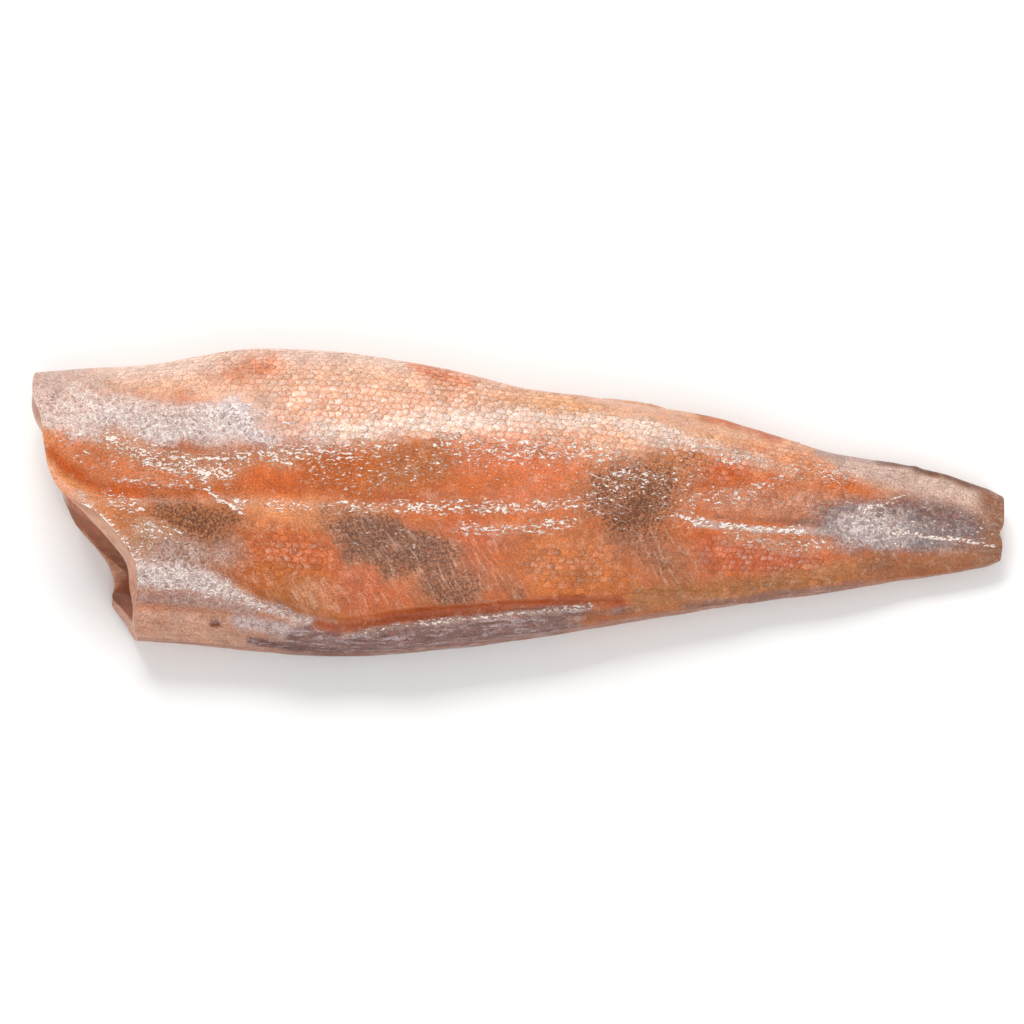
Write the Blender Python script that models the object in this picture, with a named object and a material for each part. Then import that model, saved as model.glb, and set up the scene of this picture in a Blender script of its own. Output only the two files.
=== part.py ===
"""Smoked fish trunk: one gutted fish with head, fins and tail cut off, lying on its far flank.

X runs from the nape cut to the tail cut, Y from belly to back, Z up from the table.
The skin is a closed section carried along the fish, and the belly hollow opens in the slanting head cut.
"""

import math

import bmesh
import bpy
import numpy as np

# Outlines along the fish, as (x, value) in metres, joined by a smooth curve.
BACK_LINE = (
    (-0.141, 0.0402), (-0.105, 0.0423), (-0.069, 0.0460), (-0.034, 0.0422), (0.000, 0.0347),
    (0.035, 0.0305), (0.070, 0.0238), (0.088, 0.0188), (0.105, 0.0166), (0.124, 0.0126), (0.141, 0.0073),
)
BELLY_LINE = (
    (-0.141, -0.0345), (-0.105, -0.0370), (-0.051, -0.0410), (0.000, -0.0366),
    (0.035, -0.0305), (0.070, -0.0248), (0.105, -0.0193), (0.141, -0.0130),
)
FLANK_TOP = (
    (-0.141, 0.034), (-0.100, 0.040), (-0.050, 0.043), (0.000, 0.040),
    (0.050, 0.031), (0.100, 0.019), (0.141, 0.011),
)
BACK_EDGE_HEIGHT = ((-0.141, 0.017), (-0.050, 0.020), (0.050, 0.015), (0.141, 0.0060))
BELLY_EDGE_HEIGHT = ((-0.141, 0.010), (-0.050, 0.009), (0.050, 0.008), (0.141, 0.0055))
TAIL_LIFT = ((-0.141, 0.000), (0.050, 0.000), (0.100, 0.0012), (0.141, 0.0020))

# Cross section.
WIDEST_SHARE = 0.60
EDGE_ROUNDNESS = 0.87
UNDERSIDE_ROUNDNESS = 0.60
BELLY_THINNING = 0.40
TABLE_PRESS = 0.0012

# Head cut, as (y, value): the near skin's edge, and how far the far flap leads it.
HEAD_EDGE_X = (
    (-0.0410, -0.1080), (-0.0340, -0.1085), (-0.0260, -0.1070), (-0.0185, -0.1077), (-0.0125, -0.1117),
    (-0.0060, -0.1180), (0.0003, -0.1280), (0.0065, -0.1319), (0.0150, -0.1338), (0.0230, -0.1352),
    (0.0290, -0.1377), (0.0400, -0.1390), (0.0470, -0.1390),
)
FAR_FLAP_LEAD = (
    (-0.0410, 0.0006), (-0.0350, 0.0022), (-0.0307, 0.0050), (-0.0268, 0.0088), (-0.0232, 0.0108),
    (-0.0200, 0.0072), (-0.0172, 0.0044), (-0.0125, 0.0054), (-0.0080, 0.0064), (-0.0036, 0.0042),
    (0.0016, 0.0006), (0.0085, 0.0006), (0.0470, 0.0006),
)
FULL_LEAD_SHARE = 0.80
NECK_BULGE = 0.0034
NECK_BULGE_Y, NECK_BULGE_WIDTH = 0.0255, 0.0085
NECK_BULGE_DEPTH = 0.0090
CUT_START_X = -0.1235
CUT_BLEND_LENGTH = 0.110
CUT_DISH = 0.0010
DISHED_WIDTHS = (0.004, 0.020)

# Tail cut, leaning a little, with rounded corners.
TAIL_CUT_X = 0.1404
TAIL_CUT_LEAN = 0.06
TAIL_LEAN_FROM_X, TAIL_LEAN_AXIS_Y = 0.10, -0.004
TAIL_EDGE_DRAW_IN = (0.10, 0.03)

# Belly hollow, from the head cut to just short of the vent.
HOLLOW_END_X = 0.045
HOLLOW_ROOF = ((-0.141, 0.0040), (-0.100, 0.0015), (-0.050, -0.0020), (0.045, -0.0110))
BELLY_WALL = 0.0046
HOLLOW_MIDDLE = ((-0.141, 0.0135), (-0.050, 0.0135), (0.045, 0.0110))
HOLLOW_HALF_GAP = ((-0.141, 0.0088), (-0.080, 0.0078), (0.000, 0.0055), (0.045, 0.0022))
HOLLOW_NARROWING = 0.30
HOLLOW_HEIGHT_ROUNDNESS = 0.9
HOLLOW_GAP_ROUNDNESS = 0.8

# Furrows and rolls of the near flank, as the line they follow; fades are places along X.
NEAR_FLANK_RISE = 0.35
SIDE_FURROW_LINE = (
    (-0.121, 0.0000), (-0.054, -0.0028), (-0.011, -0.0055),
    (0.035, -0.0065), (0.076, -0.0077), (0.141, -0.0110),
)
SIDE_FURROW_DEPTH = (
    (-0.125, 0.0019), (-0.060, 0.0016), (0.000, 0.0009), (0.090, 0.0009), (0.141, 0.0003),
)
SIDE_FURROW_WIDTH = 0.0026
SIDE_FURROW_FADE = (-0.128, -0.112)
SIDE_LIP_RISE = 0.0006
SIDE_LIP_OFFSET = 0.0048
SIDE_LIP_FADE = (-0.120, -0.100)
COLLAR_GROOVE_LINE = (
    (-0.136, 0.0135), (-0.1315, 0.0080), (-0.1278, 0.0044), (-0.1234, 0.0020), (-0.118, 0.0003),
)
COLLAR_GROOVE_DEPTH = 0.0017
COLLAR_GROOVE_WIDTH = 0.0027
COLLAR_GROOVE_FADE = (-0.121, -0.108)
FIN_HOLLOW_X, FIN_HOLLOW_Y = -0.082, 0.0060
FIN_HOLLOW_LENGTH, FIN_HOLLOW_WIDTH = 0.034, 0.0062
FIN_HOLLOW_DEPTH = 0.0016
BELLY_CREASE_LINE = (
    (-0.141, -0.0215), (-0.100, -0.0215), (-0.085, -0.0225), (-0.071, -0.0289), (-0.0525, -0.0350),
    (-0.032, -0.0330), (0.008, -0.0298), (0.035, -0.0283), (0.060, -0.0262), (0.100, -0.0196),
    (0.141, -0.0130),
)
BELLY_CREASE_DEPTH = (
    (-0.141, 0.0), (-0.092, 0.0), (-0.076, 0.0012), (-0.050, 0.0021),
    (0.030, 0.0018), (0.065, 0.0006), (0.100, 0.0),
)
BELLY_CREASE_WIDTH = 0.0013
BELLY_ROLL_RISE = 0.0012
BELLY_ROLL_WIDTH = 0.0035
BELLY_ROLL_FADE_IN, BELLY_ROLL_FADE_OUT = (-0.085, -0.060), (0.030, 0.075)
THROAT_CREASE_LINE = (
    (-0.141, -0.0290), (-0.108, -0.0292), (-0.095, -0.0310), (-0.070, -0.0345), (-0.055, -0.0370),
)
THROAT_CREASE_DEPTH = 0.0011
THROAT_CREASE_WIDTH = 0.0018
THROAT_CREASE_FADE = (-0.085, -0.062)
BACK_GROOVE_DEPTH = (
    (-0.141, 0.0004), (0.000, 0.0006), (0.022, 0.0024), (0.065, 0.0024), (0.090, 0.0007),
    (0.141, 0.0002),
)
BACK_GROOVE_ANGLE = 0.03
BACK_GROOVE_SPREAD = 0.085
FAR_LIP_RISE = (
    (-0.141, 0.0), (0.008, 0.0), (0.026, 0.0046), (0.056, 0.0026), (0.085, 0.0), (0.141, 0.0),
)
FAR_LIP_ANGLE = -0.22
FAR_LIP_SPREAD = 0.16

# Slight unevenness of firm, smoked flesh: rise, waves along X and along Y in radians a metre, and phase.
LUMPS = ((0.00035, 95, 60, 0.6), (0.00025, 170, -120, 2.1))

# Fineness of the mesh.
AROUND = 64
ALONG = 62
CUT_RINGS = 6
HOLLOW_RINGS = 14
TAIL_RINGS = 3
FURROW_HOME = 0.56 * math.pi
CREASE_HOME = 0.82 * math.pi
HOME_REACH = 0.30
BACK_FINENESS, BACK_REACH = 1.2, 0.05
FURROW_FINENESS, FURROW_REACH = 1.0, 0.25
CREASE_FINENESS, CREASE_REACH = 2.0, 0.40
SETTLING_STEPS = 8
SHARP_EDGE_DEGREES = 50

SKIN_COLOUR = (0.65, 0.24, 0.11, 1.0)
SKIN_ROUGHNESS = 0.38


def smooth_line(knots, at):
    """The value at each place of a smooth curve through the knots."""
    places, values = np.array(knots).T
    slopes = np.gradient(values, places)
    i = np.clip(np.searchsorted(places, at) - 1, 0, len(places) - 2)
    span = places[i + 1] - places[i]
    t = np.clip((at - places[i]) / span, 0.0, 1.0)
    return (
        values[i] * (1 + 2 * t) * (1 - t) ** 2
        + slopes[i] * span * t * (1 - t) ** 2
        + values[i + 1] * t**2 * (3 - 2 * t)
        - slopes[i + 1] * span * t**2 * (1 - t)
    )


def ease(value, start, end):
    """0 before start, 1 after end, smooth between."""
    t = np.clip((value - start) / (end - start), 0.0, 1.0)
    return t * t * (3 - 2 * t)


def bell(value, centre, width):
    return np.exp(-(((value - centre) / width) ** 2))


def ring_angles():
    """Angles from the back over the near flank and round, closer together at furrows and edges."""
    fine = np.linspace(0.0, 2 * math.pi, 2049)
    density = 1.0 + BACK_FINENESS * bell(np.cos(fine / 2) ** 2, 1.0, BACK_REACH)
    density += FURROW_FINENESS * bell(fine, FURROW_HOME, FURROW_REACH)
    density += CREASE_FINENESS * bell(fine, CREASE_HOME, CREASE_REACH)
    run = np.concatenate([[0.0], np.cumsum(density[:-1])])
    return np.interp(np.arange(AROUND) / AROUND * run[-1], run, fine)


def section_angle(x, y):
    """The angle at which the near flank passes y."""
    back, belly = smooth_line(BACK_LINE, x), smooth_line(BELLY_LINE, x)
    widest = belly + WIDEST_SHARE * (back - belly)
    share = np.clip((y - widest) / np.where(y > widest, back - widest, widest - belly), -1, 1)
    return np.arccos(np.sign(share) * np.abs(share) ** (1 / EDGE_ROUNDNESS))


def follow_creases(x, angle):
    """Shifts the angles a little, so that lines of the mesh run along the side furrow and belly crease."""
    furrow = section_angle(x, smooth_line(SIDE_FURROW_LINE, x)) - FURROW_HOME
    crease = section_angle(x, smooth_line(BELLY_CREASE_LINE, x)) - CREASE_HOME
    shift = furrow * bell(angle, FURROW_HOME, HOME_REACH)
    return angle + shift + crease * bell(angle, CREASE_HOME, HOME_REACH)


def side_forms(x, y, near):
    """How far the near flank stands out or sinks in, for its furrows, hollow and rolls."""
    furrow = smooth_line(SIDE_FURROW_LINE, x)
    depth = smooth_line(SIDE_FURROW_DEPTH, x) * ease(x, *SIDE_FURROW_FADE)
    out = -depth * bell(y, furrow, SIDE_FURROW_WIDTH)
    out += SIDE_LIP_RISE * bell(y, furrow - SIDE_LIP_OFFSET, SIDE_FURROW_WIDTH) * ease(x, *SIDE_LIP_FADE)
    collar = smooth_line(COLLAR_GROOVE_LINE, x)
    out -= COLLAR_GROOVE_DEPTH * bell(y, collar, COLLAR_GROOVE_WIDTH) * (1 - ease(x, *COLLAR_GROOVE_FADE))
    hollow = bell(x, FIN_HOLLOW_X, FIN_HOLLOW_LENGTH) * bell(y, FIN_HOLLOW_Y, FIN_HOLLOW_WIDTH)
    out -= FIN_HOLLOW_DEPTH * hollow
    throat = smooth_line(THROAT_CREASE_LINE, x)
    fade = 1 - ease(x, *THROAT_CREASE_FADE)
    out -= THROAT_CREASE_DEPTH * bell(y, throat, THROAT_CREASE_WIDTH) * fade
    crease = smooth_line(BELLY_CREASE_LINE, x)
    below = np.clip(crease - y, 0.0, None)
    sharp = np.where(y > crease, BELLY_CREASE_WIDTH, 2 * BELLY_CREASE_WIDTH)
    out -= smooth_line(BELLY_CREASE_DEPTH, x) * bell(y, crease, sharp)
    roll = BELLY_ROLL_RISE * bell(below, BELLY_ROLL_WIDTH, BELLY_ROLL_WIDTH)
    roll = roll * ease(x, *BELLY_ROLL_FADE_IN) * (1 - ease(x, *BELLY_ROLL_FADE_OUT))
    return (out + roll) * near


def lumps(x, y):
    return sum(rise * np.sin(along * x + across * y + phase) for rise, along, across, phase in LUMPS)


def bare_section(x, angle):
    """(y, z) round the section without furrows, and the shares out towards back or belly and up."""
    back, belly = smooth_line(BACK_LINE, x), smooth_line(BELLY_LINE, x)
    widest = belly + WIDEST_SHARE * (back - belly)
    side, rise = np.cos(angle), np.sin(angle)
    reach = np.where(side > 0, back - widest, widest - belly)
    y = widest + reach * np.sign(side) * np.abs(side) ** EDGE_ROUNDNESS
    share = (y - belly) / (back - belly)
    edge_back, edge_belly = smooth_line(BACK_EDGE_HEIGHT, x), smooth_line(BELLY_EDGE_HEIGHT, x)
    middle = edge_belly + (edge_back - edge_belly) * share
    upper = (smooth_line(FLANK_TOP, x) - middle) * (1 - BELLY_THINNING * (1 - share) ** 2)
    under = middle + TABLE_PRESS - smooth_line(TAIL_LIFT, x)
    z = middle + np.where(
        rise > 0, upper * np.abs(rise) ** EDGE_ROUNDNESS, -under * np.abs(rise) ** UNDERSIDE_ROUNDNESS
    )
    return y, z, np.clip((y - widest) / reach, -1, 1), rise


def skin_section(x, angle):
    """(y, z) of the skin at place x and at an angle: 0 is the back, a half turn the belly."""
    y, z, outwards, rise = bare_section(x, angle)
    near = ease(rise, 0.0, NEAR_FLANK_RISE)
    out = side_forms(x, y, near) + lumps(x, y) * near
    lean = outwards**3
    z = z + out * np.sqrt(1 - lean**2)
    y = y + out * lean
    turn = np.where(angle > math.pi, angle - 2 * math.pi, angle)
    y = y - smooth_line(BACK_GROOVE_DEPTH, x) * bell(turn, BACK_GROOVE_ANGLE, BACK_GROOVE_SPREAD)
    y = y + smooth_line(FAR_LIP_RISE, x) * bell(turn, FAR_LIP_ANGLE, FAR_LIP_SPREAD)
    return y, np.maximum(z, 0.0)


def near_height(x, y):
    """The height of the near flank above the table at (x, y), without its furrows."""
    return bare_section(x, section_angle(x, y))[1]


def head_cut_x(x, y, z):
    """Where the head cut lies at (y, z) near place x: the far flap leads the near one."""
    height = near_height(x, y)
    depth_share = np.clip((height - z) / (FULL_LEAD_SHARE * height), 0.0, 1.0)
    return smooth_line(HEAD_EDGE_X, y) - smooth_line(FAR_FLAP_LEAD, y) * depth_share


def skin_rings():
    """The skin's points, as rings from the head cut to the tail cut, leaning as the cuts do."""
    angle = np.tile(ring_angles(), (ALONG + 1, 1))
    share = (np.arange(ALONG + 1) / ALONG)[:, None]
    nominal = CUT_START_X + (TAIL_CUT_X - CUT_START_X) * share
    follow = 1 - ease(nominal, CUT_START_X, CUT_START_X + CUT_BLEND_LENGTH)
    x = np.broadcast_to(nominal, angle.shape).copy()
    for _ in range(SETTLING_STEPS):
        y, z = skin_section(x, follow_creases(x, angle))
        lead = head_cut_x(x, y, z) - CUT_START_X
        tail = TAIL_CUT_LEAN * (y - TAIL_LEAN_AXIS_Y) * ease(nominal, TAIL_LEAN_FROM_X, TAIL_CUT_X)
        x = nominal + follow * lead + tail
    return np.stack([x, y, z], axis=2)


def round_tail_corners(rings):
    """Draws the last rings in a little, so that the tail cut has a soft edge."""
    middle = rings[-1].mean(axis=0)
    for back_by, draw_in in enumerate(TAIL_EDGE_DRAW_IN):
        ring = rings[-1 - back_by]
        ring[:, 1:] += (middle[1:] - ring[:, 1:]) * draw_in
    return rings


def hollow_section(x, angle):
    """(y, z) of the belly hollow's wall at place x."""
    roof = smooth_line(HOLLOW_ROOF, x)
    floor = smooth_line(BELLY_LINE, x) + BELLY_WALL
    side, rise = np.cos(angle), np.sin(angle)
    half_height = 0.5 * (roof - floor)
    y = 0.5 * (roof + floor) + half_height * np.sign(side) * np.abs(side) ** HOLLOW_HEIGHT_ROUNDNESS
    half_gap = smooth_line(HOLLOW_HALF_GAP, x) * (1 - HOLLOW_NARROWING * ease(-side, 0.0, 1.0))
    z = smooth_line(HOLLOW_MIDDLE, x) + half_gap * np.sign(rise) * np.abs(rise) ** HOLLOW_GAP_ROUNDNESS
    return y, z


def hollow_rings():
    """The hollow's points, as rings from the head cut inwards."""
    angle = np.tile(ring_angles(), (HOLLOW_RINGS + 1, 1))
    share = (np.arange(HOLLOW_RINGS + 1) / HOLLOW_RINGS)[:, None]
    nominal = CUT_START_X + (HOLLOW_END_X - CUT_START_X) * share
    follow = 1 - ease(nominal, CUT_START_X, CUT_START_X + CUT_BLEND_LENGTH)
    x = np.broadcast_to(nominal, angle.shape).copy()
    for _ in range(SETTLING_STEPS):
        y, z = hollow_section(x, angle)
        x = nominal + follow * (head_cut_x(x, y, z) - CUT_START_X)
    return np.stack([x, y, z], axis=2)


def neck_bulge(ring):
    """How far the flesh of the cut face stands out just below the skin of the nape."""
    x, y, z = ring.T
    depth = np.clip(near_height(x, y) - z, 0.0, None) / NECK_BULGE_DEPTH
    return NECK_BULGE * depth * np.exp(1 - depth) * bell(y, NECK_BULGE_Y, NECK_BULGE_WIDTH)


def cut_rings(skin_edge, hollow_edge):
    """Rings across the cut face, from the hollow's mouth out to the skin, dished as dried flesh is."""
    rings = []
    width = np.linalg.norm(skin_edge - hollow_edge, axis=1)
    for step in range(1, CUT_RINGS):
        share = step / CUT_RINGS
        ring = hollow_edge + (skin_edge - hollow_edge) * share
        ring[:, 0] += CUT_DISH * math.sin(math.pi * share) * ease(width, *DISHED_WIDTHS)
        ring[:, 0] -= neck_bulge(ring)
        rings.append(ring)
    return rings


def tail_rings(edge):
    """Rings from the tail cut's edge in towards its middle."""
    middle = edge.mean(axis=0)
    shares = [1 - step / (TAIL_RINGS + 1) for step in range(1, TAIL_RINGS + 1)]
    return [middle + (edge - middle) * share for share in shares]


def loft(rings):
    """One closed body through the rings in order, with a point at each end."""
    body = bmesh.new()
    rows = [[body.verts.new(point) for point in ring] for ring in rings]
    for row, following in zip(rows, rows[1:]):
        for j in range(AROUND):
            k = (j + 1) % AROUND
            body.faces.new((row[j], row[k], following[k], following[j]))
    for row, flip in ((rows[0], True), (rows[-1], False)):
        middle = body.verts.new(np.mean([v.co for v in row], axis=0))
        for j in range(AROUND):
            k = (j + 1) % AROUND
            body.faces.new((row[k], row[j], middle) if flip else (row[j], row[k], middle))
    bmesh.ops.recalc_face_normals(body, faces=body.faces)
    return body


def skin_material():
    material = bpy.data.materials.new("smoked_skin")
    material.use_nodes = True
    shader = material.node_tree.nodes["Principled BSDF"]
    shader.inputs["Base Color"].default_value = SKIN_COLOUR
    shader.inputs["Roughness"].default_value = SKIN_ROUGHNESS
    return material


def make_fish():
    """The whole trunk as one solid: hollow, head cut, skin and tail cut, centred over the table's origin."""
    skin = round_tail_corners(skin_rings())
    hollow = hollow_rings()
    middle = 0.5 * (skin.min(axis=(0, 1)) + skin.max(axis=(0, 1))) * (1, 1, 0)
    rings = [*hollow[::-1], *cut_rings(skin[0], hollow[0]), *skin, *tail_rings(skin[-1])]
    rings = [ring - middle for ring in rings]
    mesh = bpy.data.meshes.new("fish_trunk")
    body = loft(rings)
    body.to_mesh(mesh)
    body.free()
    mesh.shade_smooth()
    mesh.set_sharp_from_angle(angle=math.radians(SHARP_EDGE_DEGREES))
    mesh.materials.append(skin_material())
    fish = bpy.data.objects.new("fish_trunk", mesh)
    bpy.context.scene.collection.objects.link(fish)
    return fish


def main():
    for old in list(bpy.data.objects):
        bpy.data.objects.remove(old)
    make_fish()


main()
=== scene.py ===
import math

import bmesh
import bpy
import numpy as np
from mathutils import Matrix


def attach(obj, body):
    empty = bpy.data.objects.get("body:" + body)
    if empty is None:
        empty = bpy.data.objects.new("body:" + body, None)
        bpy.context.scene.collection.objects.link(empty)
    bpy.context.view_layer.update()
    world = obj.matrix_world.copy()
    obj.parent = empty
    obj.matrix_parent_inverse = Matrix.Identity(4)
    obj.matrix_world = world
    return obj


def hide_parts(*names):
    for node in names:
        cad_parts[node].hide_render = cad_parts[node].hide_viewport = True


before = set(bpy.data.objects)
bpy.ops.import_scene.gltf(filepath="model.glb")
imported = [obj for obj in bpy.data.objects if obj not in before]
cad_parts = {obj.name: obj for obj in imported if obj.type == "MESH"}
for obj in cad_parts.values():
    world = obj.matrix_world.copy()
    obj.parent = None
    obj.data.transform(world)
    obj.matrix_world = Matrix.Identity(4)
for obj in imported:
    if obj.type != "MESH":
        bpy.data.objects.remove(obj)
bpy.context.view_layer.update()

# Metres; X from the head cut to the tail cut, Y from belly to back, Z up from the table.
outline = {
    "backLine": (
        (-0.141, 0.0402), (-0.105, 0.0423), (-0.069, 0.0460), (-0.034, 0.0422),
        (0.000, 0.0347), (0.035, 0.0305), (0.070, 0.0238), (0.088, 0.0188),
        (0.105, 0.0166), (0.124, 0.0126), (0.141, 0.0073),
    ),
    "bellyLine": (
        (-0.141, -0.0345), (-0.105, -0.0370), (-0.051, -0.0410), (0.000, -0.0366),
        (0.035, -0.0305), (0.070, -0.0248), (0.105, -0.0193), (0.141, -0.0130),
    ),
    "flankTop": (
        (-0.141, 0.034), (-0.100, 0.040), (-0.050, 0.043), (0.000, 0.040),
        (0.050, 0.031), (0.100, 0.019), (0.141, 0.011),
    ),
    "backEdgeHeight": ((-0.141, 0.017), (-0.050, 0.020), (0.050, 0.015), (0.141, 0.0060)),
    "bellyEdgeHeight": ((-0.141, 0.010), (-0.050, 0.009), (0.050, 0.008), (0.141, 0.0055)),
    "tailLift": ((-0.141, 0.000), (0.050, 0.000), (0.100, 0.0012), (0.141, 0.0020)),
    "widestShare": 0.60,
    "edgeRoundness": 0.87,
    "undersideRoundness": 0.60,
    "bellyThinning": 0.40,
    "tablePress": 0.0012,
    "lumps": ((0.00035, 95, 60, 0.6), (0.00025, 170, -120, 2.1)),  # rise, waves along X and Y, phase
    "flankFade": (0.0, 0.35),  # share of the height in which the near flank's forms come in
}

headCut = {
    "edgeX": (  # (y, x) of the near skin's edge
        (-0.0410, -0.1080), (-0.0340, -0.1085), (-0.0260, -0.1070), (-0.0185, -0.1077), (-0.0125, -0.1117),
        (-0.0060, -0.1180), (0.0003, -0.1280), (0.0065, -0.1319), (0.0150, -0.1338), (0.0230, -0.1352),
        (0.0290, -0.1377), (0.0400, -0.1390), (0.0470, -0.1390),
    ),
    "farLead": (  # (y, how far the far flap leads)
        (-0.0410, 0.0006), (-0.0350, 0.0022), (-0.0307, 0.0050), (-0.0268, 0.0088), (-0.0232, 0.0108),
        (-0.0200, 0.0072), (-0.0172, 0.0044), (-0.0125, 0.0054), (-0.0080, 0.0064), (-0.0036, 0.0042),
        (0.0016, 0.0006), (0.0085, 0.0006), (0.0470, 0.0006),
    ),
    "fullLeadShare": 0.80,
    "neckBulge": 0.0034,
    "bulgeY": 0.0255,
    "bulgeWidth": 0.0085,
    "bulgeDepth": 0.0090,
    "startX": -0.1235,
    "blend": 0.110,
    "dish": 0.0010,
    "dishedWidths": (0.004, 0.020),
    "grain": (0.00016, 0.0016),  # rise, lump size
}

tailCut = {
    "x": 0.1404,
    "lean": 0.06,
    "leanFromX": 0.10,
    "axisY": -0.004,
    "drawIn": ((0, 0.10), (1, 0.075), (2, 0.05), (3, 0.03), (4, 0.015)),
    "notchRow": 534.0,
    "notchWidth": 6.0,
    "notchDepth": 0.0011,
    "grain": (0.00025, 0.0020),
}

hollow = {
    "endX": 0.045,
    "roof": ((-0.141, 0.0040), (-0.100, 0.0015), (-0.050, -0.0020), (0.045, -0.0110)),
    "wall": 0.0046,
    "middle": ((-0.141, 0.0135), (-0.050, 0.0135), (0.045, 0.0110)),
    "halfGap": ((-0.141, 0.0088), (-0.080, 0.0078), (0.000, 0.0055), (0.045, 0.0022)),
    "narrowing": 0.30,
    "heightRoundness": 0.9,
    "gapRoundness": 0.8,
    "ribPitch": 0.0046,
    "ribRise": 0.00010,
}

furrows = {
    "sideLine": (
        (-0.121, 0.0000), (-0.054, -0.0028), (-0.011, -0.0055),
        (0.035, -0.0065), (0.076, -0.0077), (0.141, -0.0110),
    ),
    "sideDepth": (
        (-0.125, 0.0012), (-0.060, 0.0008), (-0.030, 0.0005),
        (0.020, 0.0004), (0.090, 0.0007), (0.141, 0.0003),
    ),
    "sideWidth": 0.0030,
    "sideStart": (-0.128, -0.112),  # a pair of X: where a form begins or ends, and where it is full or gone
    "lipRise": 0.0002,
    "lipOffset": 0.0048,
    "lipStart": (-0.120, -0.100),
    "collarLine": (
        (-0.136, 0.0135), (-0.1315, 0.0080), (-0.1278, 0.0044), (-0.1234, 0.0020), (-0.118, 0.0003),
    ),
    "collarDepth": 0.0013,
    "collarWidth": 0.0027,
    "collarEnd": (-0.121, -0.108),
    "finHollowAt": (-0.082, 0.0060),
    "finHollowSize": (0.034, 0.0062),
    "finHollowDepth": 0.0016,
    "creaseLine": (
        (-0.141, -0.0215), (-0.100, -0.0215), (-0.085, -0.0225), (-0.071, -0.0289), (-0.0525, -0.0350),
        (-0.032, -0.0330), (0.008, -0.0298), (0.035, -0.0283), (0.060, -0.0262), (0.100, -0.0196),
        (0.141, -0.0130),
    ),
    "creaseDepth": (
        (-0.141, 0.0), (-0.092, 0.0), (-0.076, 0.0012), (-0.050, 0.0021),
        (0.030, 0.0018), (0.065, 0.0006), (0.100, 0.0),
    ),
    "creaseWidth": 0.0013,
    "rollRise": 0.0012,
    "rollWidth": 0.0035,
    "rollStart": (-0.085, -0.060),
    "rollEnd": (0.030, 0.075),
    "throatLine": (
        (-0.141, -0.0290), (-0.108, -0.0292), (-0.095, -0.0310), (-0.070, -0.0345), (-0.055, -0.0370),
    ),
    "throatDepth": 0.0011,
    "throatWidth": 0.0018,
    "throatEnd": (-0.085, -0.062),
    "backDepth": (
        (-0.141, 0.0004), (0.000, 0.0006), (0.022, 0.0024),
        (0.065, 0.0024), (0.090, 0.0007), (0.141, 0.0002),
    ),
    "backAngle": 0.03,
    "backSpread": 0.085,
    "lipLine": ((-0.141, 0.0), (0.008, 0.0), (0.026, 0.0046), (0.056, 0.0026), (0.085, 0.0), (0.141, 0.0)),
    "lipAngle": -0.22,
    "lipSpread": 0.16,
}

seeds = {
    "ragged": 100,
    "raggedStep": 7,  # from one patch to the next
    "clouds": 31,
    "mottles": 37,
    "steepShade": 41,
    "bodyWaves": 50,
    "bandWrinkle": 61,
    "tailWrinkle": 67,
    "ridges": 71,
    "headGrain": 83,
    "tailGrain": 89,
    "headFace": 91,
    "lining": 95,
    "tailFace": 97,
    "scales": 11,
}

fineness = {
    "around": 256,
    "along": 300,
    "cutRings": 20,
    "hollowRings": 24,
    "tailRings": 10,
    "furrowHome": 0.56 * math.pi,
    "creaseHome": 0.82 * math.pi,
    "homeReach": 0.30,
    "nearShare": 2.2,
    "nearFade": 0.5,
    "furrowCloser": (1.5, 0.25),  # how much closer the columns lie there, and how far around
    "creaseCloser": (2.5, 0.40),
    "backCloser": (3.0, 0.35),
    "settling": 8,
}

# The camera. A spot on the photograph is a (column, row) of a picture of 1024 by 1024.
photo = {
    "pixels": 1024,
    "metresPerPixel": 0.2885e-3,
    "aim": (-0.0023, -0.0023, 0.0121),
    "elevation": 74.0,
    "lens": 100.0,
    "sensor": 36.0,
}


def smoothLine(knots, at):  # a smooth curve through (place, value) knots
    places, values = np.array(knots).T
    slopes = np.gradient(values, places)
    i = np.clip(np.searchsorted(places, at) - 1, 0, len(places) - 2)
    span = places[i + 1] - places[i]
    t = np.clip((at - places[i]) / span, 0.0, 1.0)
    return (
        values[i] * (1 + 2 * t) * (1 - t) ** 2
        + slopes[i] * span * t * (1 - t) ** 2
        + values[i + 1] * t**2 * (3 - 2 * t)
        - slopes[i + 1] * span * t**2 * (1 - t)
    )


def ease(value, start, end):  # 0 before start, 1 after end
    t = np.clip((value - start) / (end - start), 0.0, 1.0)
    return t * t * (3 - 2 * t)


def bell(value, centre, width):
    return np.exp(-(((value - centre) / width) ** 2))


def wander(a, b, size, seed):  # smooth noise from -1 to 1, with lumps of the given size
    table = np.random.default_rng(seed).random((64, 64)) * 2 - 1
    a, b = np.asarray(a) / size, np.asarray(b) / size
    i, j = np.floor(a).astype(int), np.floor(b).astype(int)
    s, t = a - i, b - j
    s, t = s * s * (3 - 2 * s), t * t * (3 - 2 * t)
    i, j, k, l = i % 64, j % 64, (i + 1) % 64, (j + 1) % 64
    top = table[i, j] * (1 - s) + table[k, j] * s
    low = table[i, l] * (1 - s) + table[k, l] * s
    return top * (1 - t) + low * t


def layeredWander(a, b, size, seed):
    total = wander(a, b, size, seed) + 0.5 * wander(a, b, size / 2.1, seed + 1)
    return (total + 0.25 * wander(a, b, size / 4.3, seed + 2)) / 1.3


def linear(r, g, b):  # a colour of the photograph, 0 to 255, as Blender's linear values
    c = np.array([r, g, b]) / 255.0
    return np.where(c <= 0.04045, c / 12.92, ((c + 0.055) / 1.055) ** 2.4)


# Form of the trunk
def closer(angle, home, setting):
    strength, width = setting
    return strength * bell(angle, home, width)


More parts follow.
